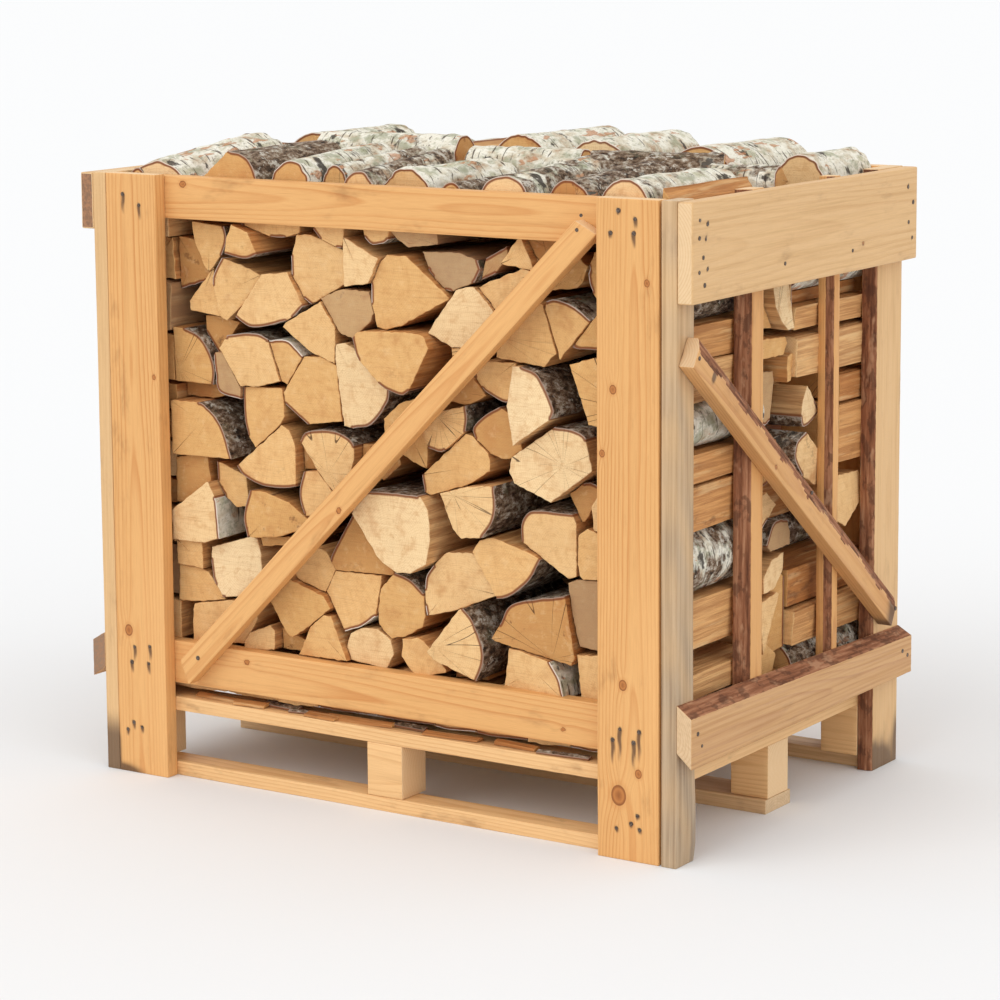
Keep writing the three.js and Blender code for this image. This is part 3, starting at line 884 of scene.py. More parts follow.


# ---------------------------------------------------------------- the billets, noted one by one

# Each line: tone, first and last corner of the bark edge or -, f where it stands forward,
# then the corners as x,z in millimetres.
ROW_BILLETS = """
d 4-5 . 118,852 150,850 168,822 181,802 172,790 118,775
n 1-4 . 155,878 214,873 219,857 208,828 187,805 178,815 158,855
n 3-5 f 250,883 273,876 280,858 293,840 270,833 233,838 237,858
n 2-6 . 256,898 360,898 359,874 335,867 305,866 270,873 254,884
n 7-10 . 359,868 398,869 402,858 440,854 446,805 426,803 407,782 384,764 359,781 347,808 348,836
n 3-6 . 392,898 448,898 447,872 440,857 423,856 407,864 391,881
p - . 447,870 468,858 498,843 515,840 498,807 450,800
n 2-5 . 484,898 536,898 532,876 518,867 501,865 489,874
n 8-0 . 220,825 251,817 276,807 284,803 279,789 269,774 234,749 218,732 205,742 200,775 204,800
n 4-8 . 270,774 285,803 345,810 352,792 372,766 345,742 300,730 268,727 240,742
n - . 179,795 196,808 199,775 206,738 150,744 148,758 165,775
d 6-8 . 169,731 207,732 221,729 234,722 210,700 200,680 194,674 176,700 170,708
n 1-5 . 118,712 140,711 165,700 182,678 190,650 186,627 118,630
n 0-4 . 205,685 226,706 259,711 284,711 300,702 306,680 318,645 296,642 265,630 239,632 221,661
n 0-3 . 303,702 332,705 351,692 362,682 332,640 320,645 308,680
n 2-5 . 359,749 382,762 401,772 415,756 429,733 432,708 429,678 401,690 384,693 362,714 334,728 340,736
g - . 402,775 443,790 491,789 498,761 484,733 468,719 443,726 432,731 420,753
n 10-1 . 500,808 512,833 529,846 567,846 600,817 638,792 600,778 575,761 548,745 520,738 507,741 499,770
n 6-0 f 471,727 500,732 560,735 600,733 609,716 592,698 573,651 560,645 535,651 510,663 490,680 478,700
n 6-8 . 365,681 398,684 425,673 432,650 434,592 404,588 370,582 351,598 320,614 345,658
p 4-8 . 432,706 448,708 473,697 496,669 526,650 521,630 504,606 484,589 454,583 435,586 434,650 424,689
n 7-0 . 246,629 326,632 323,622 332,600 312,569 293,550 273,540 259,556 251,580 247,608
n 2-7 f 118,598 150,600 168,600 182,598 201,586 218,567 229,542 236,519 200,515 160,517 118,513
d - . 118,628 196,626 200,612 170,604 118,604
g 4-0 . 196,676 214,678 225,650 240,625 240,612 205,620 198,650
n 4-9 . 320,572 334,567 346,545 349,520 350,485 330,481 300,480 275,484 252,493 237,508 270,532
  296,548 310,568
n 0-5 . 362,552 372,566 400,572 430,571 452,562 460,552 459,543 448,504 421,479 407,496 382,524
o - . 118,505 140,502 157,516 176,513 182,477 162,468 151,441 118,440
n 5-0 . 197,505 223,496 248,487 250,443 229,440 209,455 197,478
p 3-5 f 151,438 162,468 193,475 201,457 205,443 207,391 165,378 118,380 118,437
o 6-0 . 271,468 296,468 348,452 376,432 368,421 307,400 265,396 259,421 262,441
o - . 275,392 300,397 345,398 345,392 310,388 278,383
n 5-0 . 365,507 387,510 420,477 398,454 379,443 368,440 359,463 358,482
d - . 352,545 362,548 376,520 372,508 354,507
p 0-6 f 465,457 473,479 501,489 530,486 556,482 565,486 592,491 606,470 608,430 600,392 572,376
  548,374 522,386 495,412
o 8-0 . 454,449 465,449 476,438 496,410 520,379 526,363 459,360 421,360 412,368 418,385 454,404 458,421
n 4-6 . 418,357 448,357 504,359 501,316 498,299 468,279 437,268 421,296 402,324
n - . 384,388 407,382 418,366 418,354 398,324 382,324 351,341 346,345 360,372
o - . 334,338 351,338 373,327 398,324 418,302 396,285 371,268 346,252 337,246 329,252 318,271
  302,299 312,313
p 8-11 . 182,368 196,372 257,391 265,388 273,366 276,340 262,312 237,299 209,295 198,302 187,324 182,349
n - . 118,335 154,335 182,321 196,302 212,288 179,285 118,281
n - . 118,378 163,378 166,350 165,335 150,338 118,338
n - . 152,281 190,280 232,293 262,300 268,262 240,222 146,214 146,245
n - . 248,229 259,241 296,256 307,246 301,222 248,218
d - . 305,255 330,245 352,238 352,222 305,222
n - . 401,285 418,286 429,260 446,224 354,222 376,266
p - . 450,262 470,272 500,274 520,262 524,240 512,218 448,224 443,240
n 1-4 . 510,345 530,366 559,357 582,338 583,310 577,290 548,272 520,266 503,284 501,316
n - . 553,266 576,270 603,263 601,252 626,238 623,227 592,218 570,218 551,241
n 0-5 f 667,331 681,316 692,293 699,266 695,243 684,222 667,229 645,235 601,252 617,271 642,296
n 5-8 . 623,404 667,408 700,382 712,349 667,330 589,309 585,338 589,366 601,382
n 11-0 . 585,527 603,541 625,560 648,581 659,589 675,586 700,569 706,556 705,540 670,518 631,502
  603,493 589,496
p 3-6 f 628,500 659,507 687,514 724,518 726,491 720,468 701,443 664,438 650,449 656,477 640,490
n 11-3 . 759,463 770,479 787,484 851,485 856,474 853,443 856,399 839,393 814,404 798,413 778,424 759,435
d 0-3 . 833,513 851,528 870,531 892,524 878,504 864,479 853,477 845,496
n - . 857,454 873,466 915,452 915,402 894,407 873,391 862,399 855,435
n 4-8 . 676,409 692,432 714,438 751,424 792,416 776,388 756,368 734,354 712,350 698,388
o 0-3 . 726,310 751,343 798,354 839,364 845,324 853,282 845,263 801,271 745,278 712,288
g - . 839,382 864,393 915,396 915,288 859,293 850,324 842,352
y 2-4 . 742,274 801,270 814,266 831,241 838,213 731,216 737,241
n - . 857,277 915,282 915,211 862,216
d - . 630,235 645,233 680,222 680,214 630,214
g - . 534,898 612,898 612,870 564,864 548,872 534,883
g 3-10 . 589,853 631,850 651,856 687,847 691,836 681,819 664,808 645,801 628,803 609,814 598,831
n - . 764,885 776,864 782,838 751,842 726,850 739,867
n - . 684,806 701,814 751,833 770,840 778,833 756,814 737,797 714,775 701,794
p 6-8 . 653,806 680,806 700,790 712,770 687,744 676,728 659,717 639,719 603,736 612,753 631,778
n - . 751,781 764,789 801,789 809,767 817,744 820,722 801,703 784,704 776,708 720,710 723,722 739,750
n 0-3 . 808,794 820,797 851,789 878,771 853,742 828,715 814,750 806,783
n 3-5 . 915,790 892,781 878,767 851,736 853,732 915,733
d - . 845,861 862,847 856,828 845,817 801,811 826,836
o 5-0 . 878,850 886,868 915,875 915,795 893,797 883,815 877,832
n 4-0 . 678,689 692,697 751,700 751,678 746,647 731,646 701,658 684,669
p 1-8 f 752,696 770,697 798,686 809,669 800,656 814,650 826,644 823,625 798,611 776,594 762,583
  756,608 762,633 746,642
p 1-5 . 753,573 776,594 812,611 840,611 862,608 872,600 885,552 842,540 822,505 795,515 756,528 748,545
n - . 853,706 915,725 915,622 884,625 878,656 867,683
y 2-7 . 592,610 617,619 664,631 667,614 664,589 645,572 623,563 603,567 595,581 592,594
o 8-2 . 681,600 701,619 726,633 751,622 756,594 764,569 751,560 726,561 701,569 684,583
n - . 520,600 548,625 573,633 590,600 592,575 588,534 556,546 520,565
o - . 631,640 645,668 675,682 700,652 665,635
n - . 640,690 640,717 662,717 662,700
d - . 765,886 822,886 835,868 822,850 785,845
d - . 460,520 462,552 520,560 530,530 500,505
g 4-2 . 692,822 700,850 731,867 735,850 720,835
n - . 881,505 893,522 915,525 915,470 885,468
"""

# Sides of the end columns, seen from beside: foot, top, how far out, tone, paper or - where split.
RIGHT_OF_FRONT = """
140 214 1022 n .3
226 262 1022 p -
298 368 1020 n -
377 462 1024 g .5
472 537 1021 n -
543 583 1023 n -
592 652 1024 n .75
657 713 1021 n -
718 768 1018 o -
772 818 1010 d .1
822 884 1022 n -
"""
RIGHT_OF_BACK = """
140 240 1020 n .4
245 297 1022 n -
302 360 1008 o -
364 424 950 d .2
428 500 950 d -
507 597 1024 n -
602 643 1020 o -
657 718 1024 p -
727 758 1022 n -
765 782 1000 d -
786 850 1024 g .8
854 884 1020 n -
"""
# Ends in the crosswise column, seen from the right: as ROW_BILLETS with y,z, then how far back the end lies.
CROSS_ENDS = """
n - 14 303,852 343,852 341,900 303,905
p - 4 343,842 388,845 390,762 396,732 378,730 346,757 343,800
g 1-3 8 398,845 404,845 404,735 398,735
o - 22 302,792 338,792 344,757 370,734 302,737
n - 10 303,724 386,720 394,710 383,692 302,692
n - 6 384,690 404,694 404,650 392,649
g 3-5 26 301,672 383,667 386,650 371,592 346,590 302,642
d - 30 302,636 343,588 343,560 302,556
n 4-0 12 300,462 308,482 338,490 368,467 338,447 306,432
d 0-3 30 302,490 335,496 372,500 404,540 404,560 350,560 302,550
g 0-3 8 330,410 348,438 368,444 395,440 404,420 404,400 345,398
p - 2 302,342 302,365 336,387 383,392 378,367 358,352 338,342
p - 0 301,315 303,329 348,337 360,332 306,242 301,270
o 2-4 20 345,322 383,362 404,350 404,300 404,240 362,236 332,280
n - 10 312,232 328,262 363,238 350,200 312,200
n 0-2 12 302,150 302,192 352,194 404,190 404,150
n - 10 344,855 404,855 404,912 346,905
"""
# Short pieces that lie across the back row's right end.
CROSS_NEAR = """
p 4-1 2 436,575 424,592 426,617 440,640 470,612 483,592
p 4-0 0 433,570 538,487 508,477 468,482 428,502 403,532 408,557
p - 0 528,487 623,482 656,447 583,427 563,402 528,417
"""


def read_lines(text):
    """The words of each line. A line that starts with a space goes on from the one before."""
    return [line.split() for line in text.strip().replace("\n ", " ").splitlines()]


def read_run(word):
    return None if word == "-" else tuple(int(c) for c in word.split("-"))


def read_corners(words):
    return [tuple(float(c) for c in w.split(",")) for w in words]


# The row of billets behind each window, in the notes' millimetres.
ROW_LEFT, ROW_RIGHT = 27, 1023
LEFT_COLUMN, RIGHT_COLUMN = 116, 917  # where the end columns meet the row
COLUMN_FOOT, COLUMN_TOP = 214, 900
FOOT_PLUS_TOP = 1108  # of the noted row, taken off to turn it upside down
RAIL_FOOT = 892  # the pieces of the top course start here, behind the top rail
COURSE_TOP = 917
# Room too small for another billet, and room so small that the billet before it takes it up too.
LEAST_HEIGHT, THINNEST_LAST = 24, 26
NARROWEST, NARROWEST_LAST = 23, 45


def hand_row(upside_down):
    """The billets of a row between the end columns: outline, tone, stands forward, paper."""
    found = []
    for tone, run, forward, *corners in read_lines(ROW_BILLETS):
        points = read_corners(corners)
        if upside_down:
            points = [(x, FOOT_PLUS_TOP - z) for x, z in points]
        found.append([outline(points, read_run(run)), tone, forward == "f", None])
    return found


def column_piece(x0, x1, z0, z1, bark, rng, out):
    """A billet at the end of a row. Its bark, or a split side, looks out to x1."""
    a, b = rng.uniform(0, 5, 2)
    if bark:
        h = z1 - z0
        points = [(x0, z0 + 4), (x1 - out * 22, z0), (x1 - out * 6, z0 + 0.2 * h), (x1, z0 + 0.5 * h),
                  (x1 - out * 7, z1 - 0.2 * h), (x1 - out * 24, z1), (x0, z1 - 5)]
        return outline(points, (1, 5))
    points = [(x0, z0 + a), (x1 - out * b, z0), (x1, z1 - a), (x0 + out * 8, z1)]
    return outline(points, None)


def random_column(x0, x1, z0, z1, out, rng):
    """Billets of any height on top of each other, from z0 up to z1."""
    found = []
    z = z0
    while z < z1 - LEAST_HEIGHT:
        high = min(rng.uniform(42, 92), z1 - z)
        if z1 - z - high < THINNEST_LAST:
            high = z1 - z
        bark = rng.uniform() < 0.5
        tone = rng.choice(["n", "p", "o", "g", "n"])
        found.append([column_piece(x0, x1 - out * rng.uniform(0, 7), z, z + high - 1.5, bark, rng, out),
                      tone, False, rng.choice([0.1, 0.5, 0.85]) if bark else None])
        z += high
    return found


def noted_column(text, x0, rng):
    """The billets of an end column from the notes of their sides."""
    found = []
    for foot, top, far, tone, paper in read_lines(text):
        shape = column_piece(x0, float(far), float(foot), float(top), paper != "-", rng, 1)
        found.append([shape, tone, False, None if paper == "-" else float(paper)])
    return found


def bottom_course(rng):
    """The lowest billets, on the deck behind the bottom rail."""
    found = []
    x = float(ROW_LEFT)
    while x < ROW_RIGHT - NARROWEST:
        wide = min(rng.uniform(70, 115), ROW_RIGHT - x)
        if ROW_RIGHT - x - wide < NARROWEST_LAST:
            wide = ROW_RIGHT - x
        a, b = rng.uniform(0, 14, 2)
        points = [(x + 1, 141), (x + wide * 0.35, 139), (x + wide - 2, 142), (x + wide - 1, 208 - a),
                  (x + wide * 0.5, 213), (x + 2, 206 - b)]
        found.append([outline(points, (0, 2) if rng.uniform() < 0.5 else None), "n", False, None])
        x += wide
    return found


def top_course(notches, rng):
    """Low pieces behind the top rail, kept under the billets that lie on top."""
    found = []
    starts = [(float(ROW_LEFT), None)]
    for x0, x1, foot in notches:
        starts += [(x0, foot), (x1, None)]
    ends = [start[0] for start in starts[1:]] + [float(ROW_RIGHT)]
    for (x0, foot), x1 in zip(starts, ends):
        if x1 - x0 < 16:
            continue
        top = min(foot, COURSE_TOP) if foot else COURSE_TOP
        a = rng.uniform(0, 6)
        points = [(x0 + 1, RAIL_FOOT), (x1 - 1, RAIL_FOOT), (x1 - 1, top - a), ((x0 + x1) / 2, top),
                  (x0 + 1, top - 3)]
        found.append([outline(points, (2, 4) if not foot else None), "n", False, None])
    return found


FRONT_TOPS = [f"top_billet_front_{i}" for i in range(1, 8)]
BACK_TOPS = [f"top_billet_back_{i}" for i in range(1, 5)]


def notches_under(nodes):
    """Left, right and foot of each of these solids on top of a row, from the left."""
    found = []
    for node in nodes:
        low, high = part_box(node)
        found.append((low.x / MM + CORNER_X, high.x / MM + CORNER_X, low.z / MM))
    return sorted(found)


def along_y(end, way):
    """Places a billet front to back: its seen end is at y = end and it runs in by way, 1 or -1."""
    return lambda a, b, t: np.c_[(a - CORNER_X) * MM, (end + way * t) * MM, b * MM]


def along_x(end, way):
    """Places a billet crosswise, in the same way."""
    return lambda a, b, t: np.c_[(end + way * t) * MM, (a - CORNER_Y) * MM, b * MM]


BIRCH = [END_GRAIN, SPLIT_FACE, BIRCH_BARK]
GROWTH = 3.0
ROW_GAP, CROSS_GAP = 0.6, 1.0
SMALLEST_END, SMALLEST_CROSS_END = 160, 120  # square millimetres
ROW_INNER = 52.5  # inner ends of the row's billets, from the crate's middle
SHORT_INNER = 195  # where the short crosswise pieces take up the room behind them
# Seen ends, from the crate's middle: behind the rails, in the window, standing forward, set back.
BEHIND_RAIL, IN_WINDOW, FORWARD, SET_BACK = 301.0, 305, 322, 284
WINDOW_FOOT, WINDOW_TOP = 222, 884
GROUP_WIDE, GROUP_HIGH = 190, 170  # billets are joined into pieces of about this size


def lay_row(name, node, pieces, side, seed):
    """side is -1 for the front row and 1 for the back one. The end columns are seen from beside too,
    so they are made finer."""
    rng = np.random.default_rng(seed)
    shapes = part_ways([grow(p[0], GROWTH) for p in pieces], ROW_GAP)
    groups = {}
    for shape, (_, tone, forward, paper) in zip(shapes, pieces):
        if len(shape) < 3 or area(shape) < SMALLEST_END:
            continue
        x, z = shape[:, :2].mean(0)
        in_window = WINDOW_FOOT <= z <= WINDOW_TOP
        end = IN_WINDOW + rng.normal(0, 4.5) if in_window else BEHIND_RAIL
        if forward:
            end = FORWARD
        # Dark billets are set back; their dark tone paints the shade that falls deep in the stack, on top of
        # stain.
        if tone == "d":
            end = SET_BACK + rng.normal(0, 4)
        outer = x > RIGHT_COLUMN + 1 or x < LEFT_COLUMN
        fine = {"spacing": 4.8, "step": 12} if outer else {"spacing": 6.8 if side < 0 else 8.0}
        form = groups.setdefault((int(x // GROUP_WIDE), int(z // GROUP_HIGH)), Shape())
        beside_short = side > 0 and x > RIGHT_COLUMN + 1 and 500 < z < 650
        inner = SHORT_INNER if beside_short else ROW_INNER
        length = end - inner - rng.uniform(0, 3)
        add_billet(form, shape, along_y(side * end, -side), length, rng, tone, paper, **fine)
    for (i, j), form in sorted(groups.items()):
        form.build(f"{name}_{i}_{j}", BIRCH, "split_birch", [node])


def lay_rows():
    rng = np.random.default_rng(11)
    front = hand_row(False)
    front += noted_column(RIGHT_OF_FRONT, RIGHT_COLUMN, rng)
    front += random_column(LEFT_COLUMN, ROW_LEFT, COLUMN_FOOT, COLUMN_TOP, -1, rng)
    front += bottom_course(rng) + top_course(notches_under(FRONT_TOPS), rng)
    lay_row("front_billets", "front_row_billets", front, -1, 21)
    back = hand_row(True)
    for piece in back:
        piece[1] = str(rng.choice(["n", "n", "p", "o", "g", "y"]))
    back += noted_column(RIGHT_OF_BACK, RIGHT_COLUMN, rng)
    back += random_column(LEFT_COLUMN, ROW_LEFT, COLUMN_FOOT, COLUMN_TOP, -1, rng)
    back += bottom_course(rng) + top_course(notches_under(BACK_TOPS), rng)
    lay_row("back_billets", "back_row_billets", back, 1, 22)


CROSS_END = 498  # seen ends of the crosswise billets, from the crate's middle
CROSS_INNER = 28  # and their inner ends
CROSS_FRONT, CROSS_BACK = 302, 403  # the gap between the rows
CROSS_FOOT, CROSS_TOP = 142, 938
LEFT_CROSS_LENGTH, SHORT_LENGTH = 480, 62


def lay_crosswise():
    """Billets across, in the gap between the rows. Only their ends show."""
    rng = np.random.default_rng(31)

    def build(form, name):
        form.build(name, BIRCH, "split_birch", ["crosswise_billets"])

    noted = [(outline(read_corners(corners), read_run(run)), tone, float(back))
             for tone, run, back, *corners in read_lines(CROSS_ENDS)]
    shapes = part_ways([shape for shape, _, _ in noted], CROSS_GAP)
    form = Shape()
    for shape, (_, tone, back) in zip(shapes, noted):
        if len(shape) > 2 and area(shape) > SMALLEST_CROSS_END:
            length = CROSS_END - CROSS_INNER - back
            add_billet(form, shape, along_x(CROSS_END - back, -1), length, rng, tone, spacing=5)
    build(form, "crosswise_billets_right")

    form = Shape()
    for tone, run, back, *corners in read_lines(CROSS_NEAR):
        shape = outline(read_corners(corners), read_run(run))
        place = along_x(CROSS_END + 1 - float(back), -1)
        add_billet(form, shape, place, SHORT_LENGTH, rng, tone, 0.3, spacing=4)
    build(form, "crosswise_short_billets")

    form = Shape()
    for shape, tone, _, paper in random_column(CROSS_FRONT, CROSS_BACK, CROSS_FOOT, CROSS_TOP, 1, rng):
        place = along_x(rng.uniform(0, 14) - CROSS_END, 1)
        add_billet(form, shape, place, LEFT_CROSS_LENGTH, rng, tone, paper, spacing=5)
    build(form, "crosswise_billets_left")


# Logs on top. Name of the CAD solid that each stands for or -, how the tree was split, tone, paper,
# then middle x and y, turn in degrees, length, width, foot, top and how far it rises to the back.
TOP_LOGS = """
top_billet_front_1 half p .75 88 180 -3 246 118 921 971 30
- half n .35 40 176 2 240 40 921 960
top_billet_front_2 left o .2 224 177 0 248 122 921 993
top_billet_front_3 half d .75 338 178 2 248 82 921 982 12
- half n .6 408 200 -2 230 54 921 976 16
- half p .4 462 178 3 244 62 921 971 20
top_billet_front_4 half n .9 548 192 -5 222 98 921 976
- half o .3 634 178 1 246 48 921 962
top_billet_front_5 half p .5 737 177 -3 249 92 921 975 14
top_billet_front_6 half o .3 836 177 2 249 84 921 972 12
top_billet_front_7 half p .7 939 177 -2 249 92 921 979
- wedge o .5 1002 182 0 236 32 921 966
- half n .9 585 352 -82 190 88 938 992
- half n .3 812 352 -70 205 84 940 994
top_billet_cross half o .75 330 352 -83 250 92 940 1006
- right n .4 105 352 -78 150 84 940 984
- left o .5 965 352 -80 110 80 940 978
top_billet_back_1 half n .7 127 529 2 248 126 921 996
- half n .45 258 530 -3 246 96 921 977
- right p .85 388 528 2 244 108 921 986
top_billet_back_2 half n .9 535 529 -2 248 130 921 1006
top_billet_back_3 half p .95 672 529 1 248 126 921 1003
- half n .4 762 529 0 240 44 921 962
top_billet_back_4 half n .8 856 529 -1 248 134 921 999
- half p .9 974 588 2 180 86 921 985
"""


# The tree's rounded outside over a log on top, in shares of its width and height: a half log, and
# quarters with their split side to the left or the right.
ARCS = {
    "half": [(0.0, 0.1), (0.03, 0.42), (0.14, 0.74), (0.32, 0.94), (0.5, 1.0), (0.68, 0.95), (0.86, 0.75),
             (0.97, 0.42), (1.0, 0.1)],
    "left": [(0.0, 0.25), (0.5, 1.0), (0.7, 0.94), (0.87, 0.74), (0.97, 0.42), (1.0, 0.05)],
    "right": [(0.0, 0.05), (0.03, 0.42), (0.13, 0.74), (0.3, 0.94), (0.5, 1.0), (1.0, 0.25)],
}


def top_shape(wide, foot, top, style):
    """The outline of a log on top. A wedge has no bark."""
    if style == "wedge":
        return outline([(-wide / 2, foot), (-wide * 0.3, top), (wide / 2, foot + 6), (wide / 2, foot)], None)
    points = [((across - 0.5) * wide, foot + up * (top - foot)) for across, up in ARCS[style]]
    first = 1 if style == "left" else 0
    last = len(points) - (2 if style == "right" else 1)
    points.append((0.05 * wide, foot + 0.02))
    return outline(points, (first, last))


def laid(x, y, turn, length, rise=0.0):
    """Places a log about its middle, turned on the stack. A turn of 0 or 180 runs front to back."""
    c, s = math.cos(math.radians(turn)), math.sin(math.radians(turn))

    def place(a, b, t):
        along = t - length / 2
        return np.c_[(x - CORNER_X + a * c - along * s) * MM, (y - CORNER_Y + a * s + along * c) * MM,
                     (b + rise * t / length) * MM]

    return place


BACK_ROW_FROM = 450  # logs further back than this lie on the back row


def lies_on(y, turn):
    """The solid whose billets a log on top rests on."""
    if y > BACK_ROW_FROM:
        return "back_row_billets"
    return "crosswise_billets" if abs(turn) > 45 else "front_row_billets"


def lay_top():
    rng = np.random.default_rng(41)
    for number, (node, style, tone, paper, *sizes) in enumerate(read_lines(TOP_LOGS), 1):
        x, y, turn, length, wide, foot, top, *rise = [float(v) for v in sizes]
        form = Shape()
        add_billet(form, top_shape(wide, foot, top, style), laid(x, y, turn, length, *rise), length, rng, tone,
                   float(paper), 3.6, TOP_STEP, rough=2.2)
        form.build(f"top_log_{number}", BIRCH, "split_birch", [lies_on(y, turn) if node == "-" else node])


# Slivers and bark that fell on the front deck board: x, y, turn, length, width, thickness and what it is.
CHIPS = """
196 47 86 92 16 7 wood
262 39 95 58 22 8 wood
316 51 84 70 18 9 bark
356 43 99 40 14 6 bark
402 37 88 60 24 7 wood
470 43 92 120 18 8 wood
556 49 85 64 14 9 bark
640 41 93 96 20 7 wood
752 45 87 74 18 8 wood
838 39 94 88 14 6 bark
"""


CHIP_CLEAR = 0.4  # kept above the board


def lay_chips():
    rng = np.random.default_rng(51)
    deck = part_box("deck_board_front")[1].z / MM + CHIP_CLEAR
    form = Shape()
    for *sizes, kind in read_lines(CHIPS):
        x, y, turn, length, wide, thick = [float(v) for v in sizes]
        corners = [(-wide / 2, deck), (wide / 2, deck), (wide * 0.42, deck + thick * 0.7),
                   (wide * 0.1, deck + thick), (-wide * 0.45, deck + thick * 0.55)]
        run, tone = ((2, 4), "g") if kind == "bark" else (None, "o")
        add_billet(form, outline(corners, run), laid(x, y, turn, length), length, rng, tone, 0.1, 3.0, 8)
    form.build("chips_on_the_deck", BIRCH, "split_birch", ["front_row_billets"])


# ---------------------------------------------------------------- crate boards


def places(length, step, soft):
    """Marks along one side of a block: close together at its rounded edges."""
    inner = np.linspace(soft, length - soft, max(2, int(round((length - 2 * soft) / step)) + 1))
    return np.concatenate([[0, 0.35 * soft], inner, [length - 0.35 * soft, length]])


def eased_block(size, steps, soft):
    """A block's surface as a fine lattice with rounded edges, from the origin to size, in millimetres."""
    marks = [places(n, s, soft) for n, s in zip(size, steps)]
    sheets, quads, count = [], [], 0
    for axis in range(3):
        p, q = [k for k in range(3) if k != axis]
        a, b = np.meshgrid(marks[p], marks[q], indexing="ij")
        index = np.arange(a.size).reshape(a.shape)
        cell = np.stack([index[:-1, :-1], index[1:, :-1], index[1:, 1:], index[:-1, 1:]], -1).reshape(-1, 4)
        for end in (0, 1):
            sheet = np.zeros((a.size, 3))
            sheet[:, p], sheet[:, q] = a.ravel(), b.ravel()
            sheet[:, axis] = size[axis] * end
            outward = (axis != 1) == (end == 1)
            sheets.append(sheet)
            quads.append((cell if outward else cell[:, ::-1]) + count)
            count += a.size
    points = np.concatenate(sheets)
    _, first, back = np.unique(np.round(points * 1000).astype(int), axis=0, return_index=True,
                               return_inverse=True)
    points = points[first]
    quads = back.ravel()[np.concatenate(quads)]
    inner = np.clip(points, soft, np.array(size) - soft)
    out = points - inner
    far = np.maximum(np.linalg.norm(out, axis=1), 1e-9)
    return inner + out * (soft / np.maximum(far, soft))[:, None], quads


def add_board(form, corner, axes, size, rng, step=8.0, knots=(), rust=(), grey=0.0, change=None,
              bark=None, soft=1.6, heart=None, turned=False, rot=(), ends=1.0):
    """A board with its length, width and thickness along axes from corner, all in millimetres.
    Knots are along, across, size. Rust is along, across, streak length. Rot is along, across and its
    reach both ways. ends is 1 for pale sawn ends and 2 for old brown ones. change moves the points and
    bark says which faces keep the tree's bark. turned boards go half round the crate's middle."""
    axes = np.array(axes, float)
    size = np.array(size, float)
    steps = (step, min(step, size[1] / 6), min(6.0, size[2] / 3))
    points, quads = eased_block(size, steps, soft)
    u, v, w = points.T
    wood = points.copy()
    middle = points[quads].mean(1)
    bow = ripple(rng, 3, 260, 900)
    skin, skin_b = ripple(rng, 5, 18, 90), ripple(rng, 4, 25, 120)
    lift = 0.2 * skin(u) * skin_b(v * 2 + u * 0.2)
    points = points + np.c_[np.zeros(len(u)), 0.3 * bow(u), lift * np.where(w < size[2] / 2, -1, 1)]
    knot = np.full(len(u), 3.0)
    for ku, kv, kr in knots:
        du, dv = u - ku, v - kv
        far = np.hypot(du * 0.8, dv) / kr
        knot = np.minimum(knot, far)
        wood[:, 1] += np.sign(dv) * kr * 0.8 * np.exp(-(far**2) / 5)
    butt = ends * ((u < 0.4) | (u > size[0] - 0.4))
    stain = np.zeros(len(u))
    for ru, rv, down in rust:
        du, dv = u - ru, v - rv
        fall = np.clip(1 + du / max(down, 1), 0, 1) ** 0.7
        reach = np.where(du < 0, fall, np.exp(-(du**2) / 8))
        stain = np.maximum(stain, reach * np.exp(-((dv - 0.8 * np.sin(u / 5)) ** 2) / 9.0))
    for bu, bv, tall, broad in rot:
        far = ((u - bu) / tall) ** 2 + ((v - bv) / broad) ** 2
        stain = np.maximum(stain, 1.15 * np.exp(-far * (1 + 0.5 * skin(u) * skin_b(v))) * 0.9)
    looks = np.zeros(len(quads), int)
    if bark is not None:
        looks = np.where(bark(middle, size), 1, 0)
        rough = np.zeros(len(u))
        rough[np.unique(quads[looks == 1])] = 1
        flakes, flakes_b = ripple(rng, 6, 5, 26), ripple(rng, 5, 6, 30)
        points[:, 1] += rough * 0.9 * flakes(u) * flakes_b(w * 2.3 + u * 0.4)
        points[:, 2] += rough * 0.8 * flakes(u * 1.1 + 30) * flakes_b(v * 2.3) * (w > size[2] / 2)
    if change is not None:
        points = change(points, size)
    if heart is None:
        heart = (rng.uniform(0.3, 0.7) * size[1], -rng.uniform(18, 60))
    wood = (wood - np.array([0, heart[0], heart[1]])) * MM + np.array([rng.uniform(0, 4), 0, 0])
    world = points @ axes + np.array(corner, float)
    if turned:
        world = world * np.array([-1, -1, 1])
    if np.linalg.det(axes) < 0:
        quads = quads[:, ::-1]
    form.add(world * MM, quads, looks, wood=wood, knot=knot, rust=stain, butt=butt,
             grey=grey(u, v) if callable(grey) else np.full(len(u), grey))


def reach_of(node, half_turn):
    """The low and high corner of a CAD node's box in millimetres, turned half round if asked."""
    low, high = [np.array(c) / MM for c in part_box(node)]
    if half_turn:
        low, high = [np.array([-b[0], -b[1], a[2]]) for a, b in ((low, high), (high, low))]
    return low, high


def make_board(node, along, thick, finish, slot, seed, half_turn=False, **options):
    """A board in a CAD node's box. A half_turn one is made on the other side and turned round."""
    low, high = reach_of(node, half_turn)
    order = [along, 3 - along - thick, thick]
    form = Shape()
    add_board(form, low, np.eye(3)[order], (high - low)[order], np.random.default_rng(seed),
              turned=half_turn, **options)
    form.build(f"{node}_timber", [finish, PINE_BARK], slot, [node])


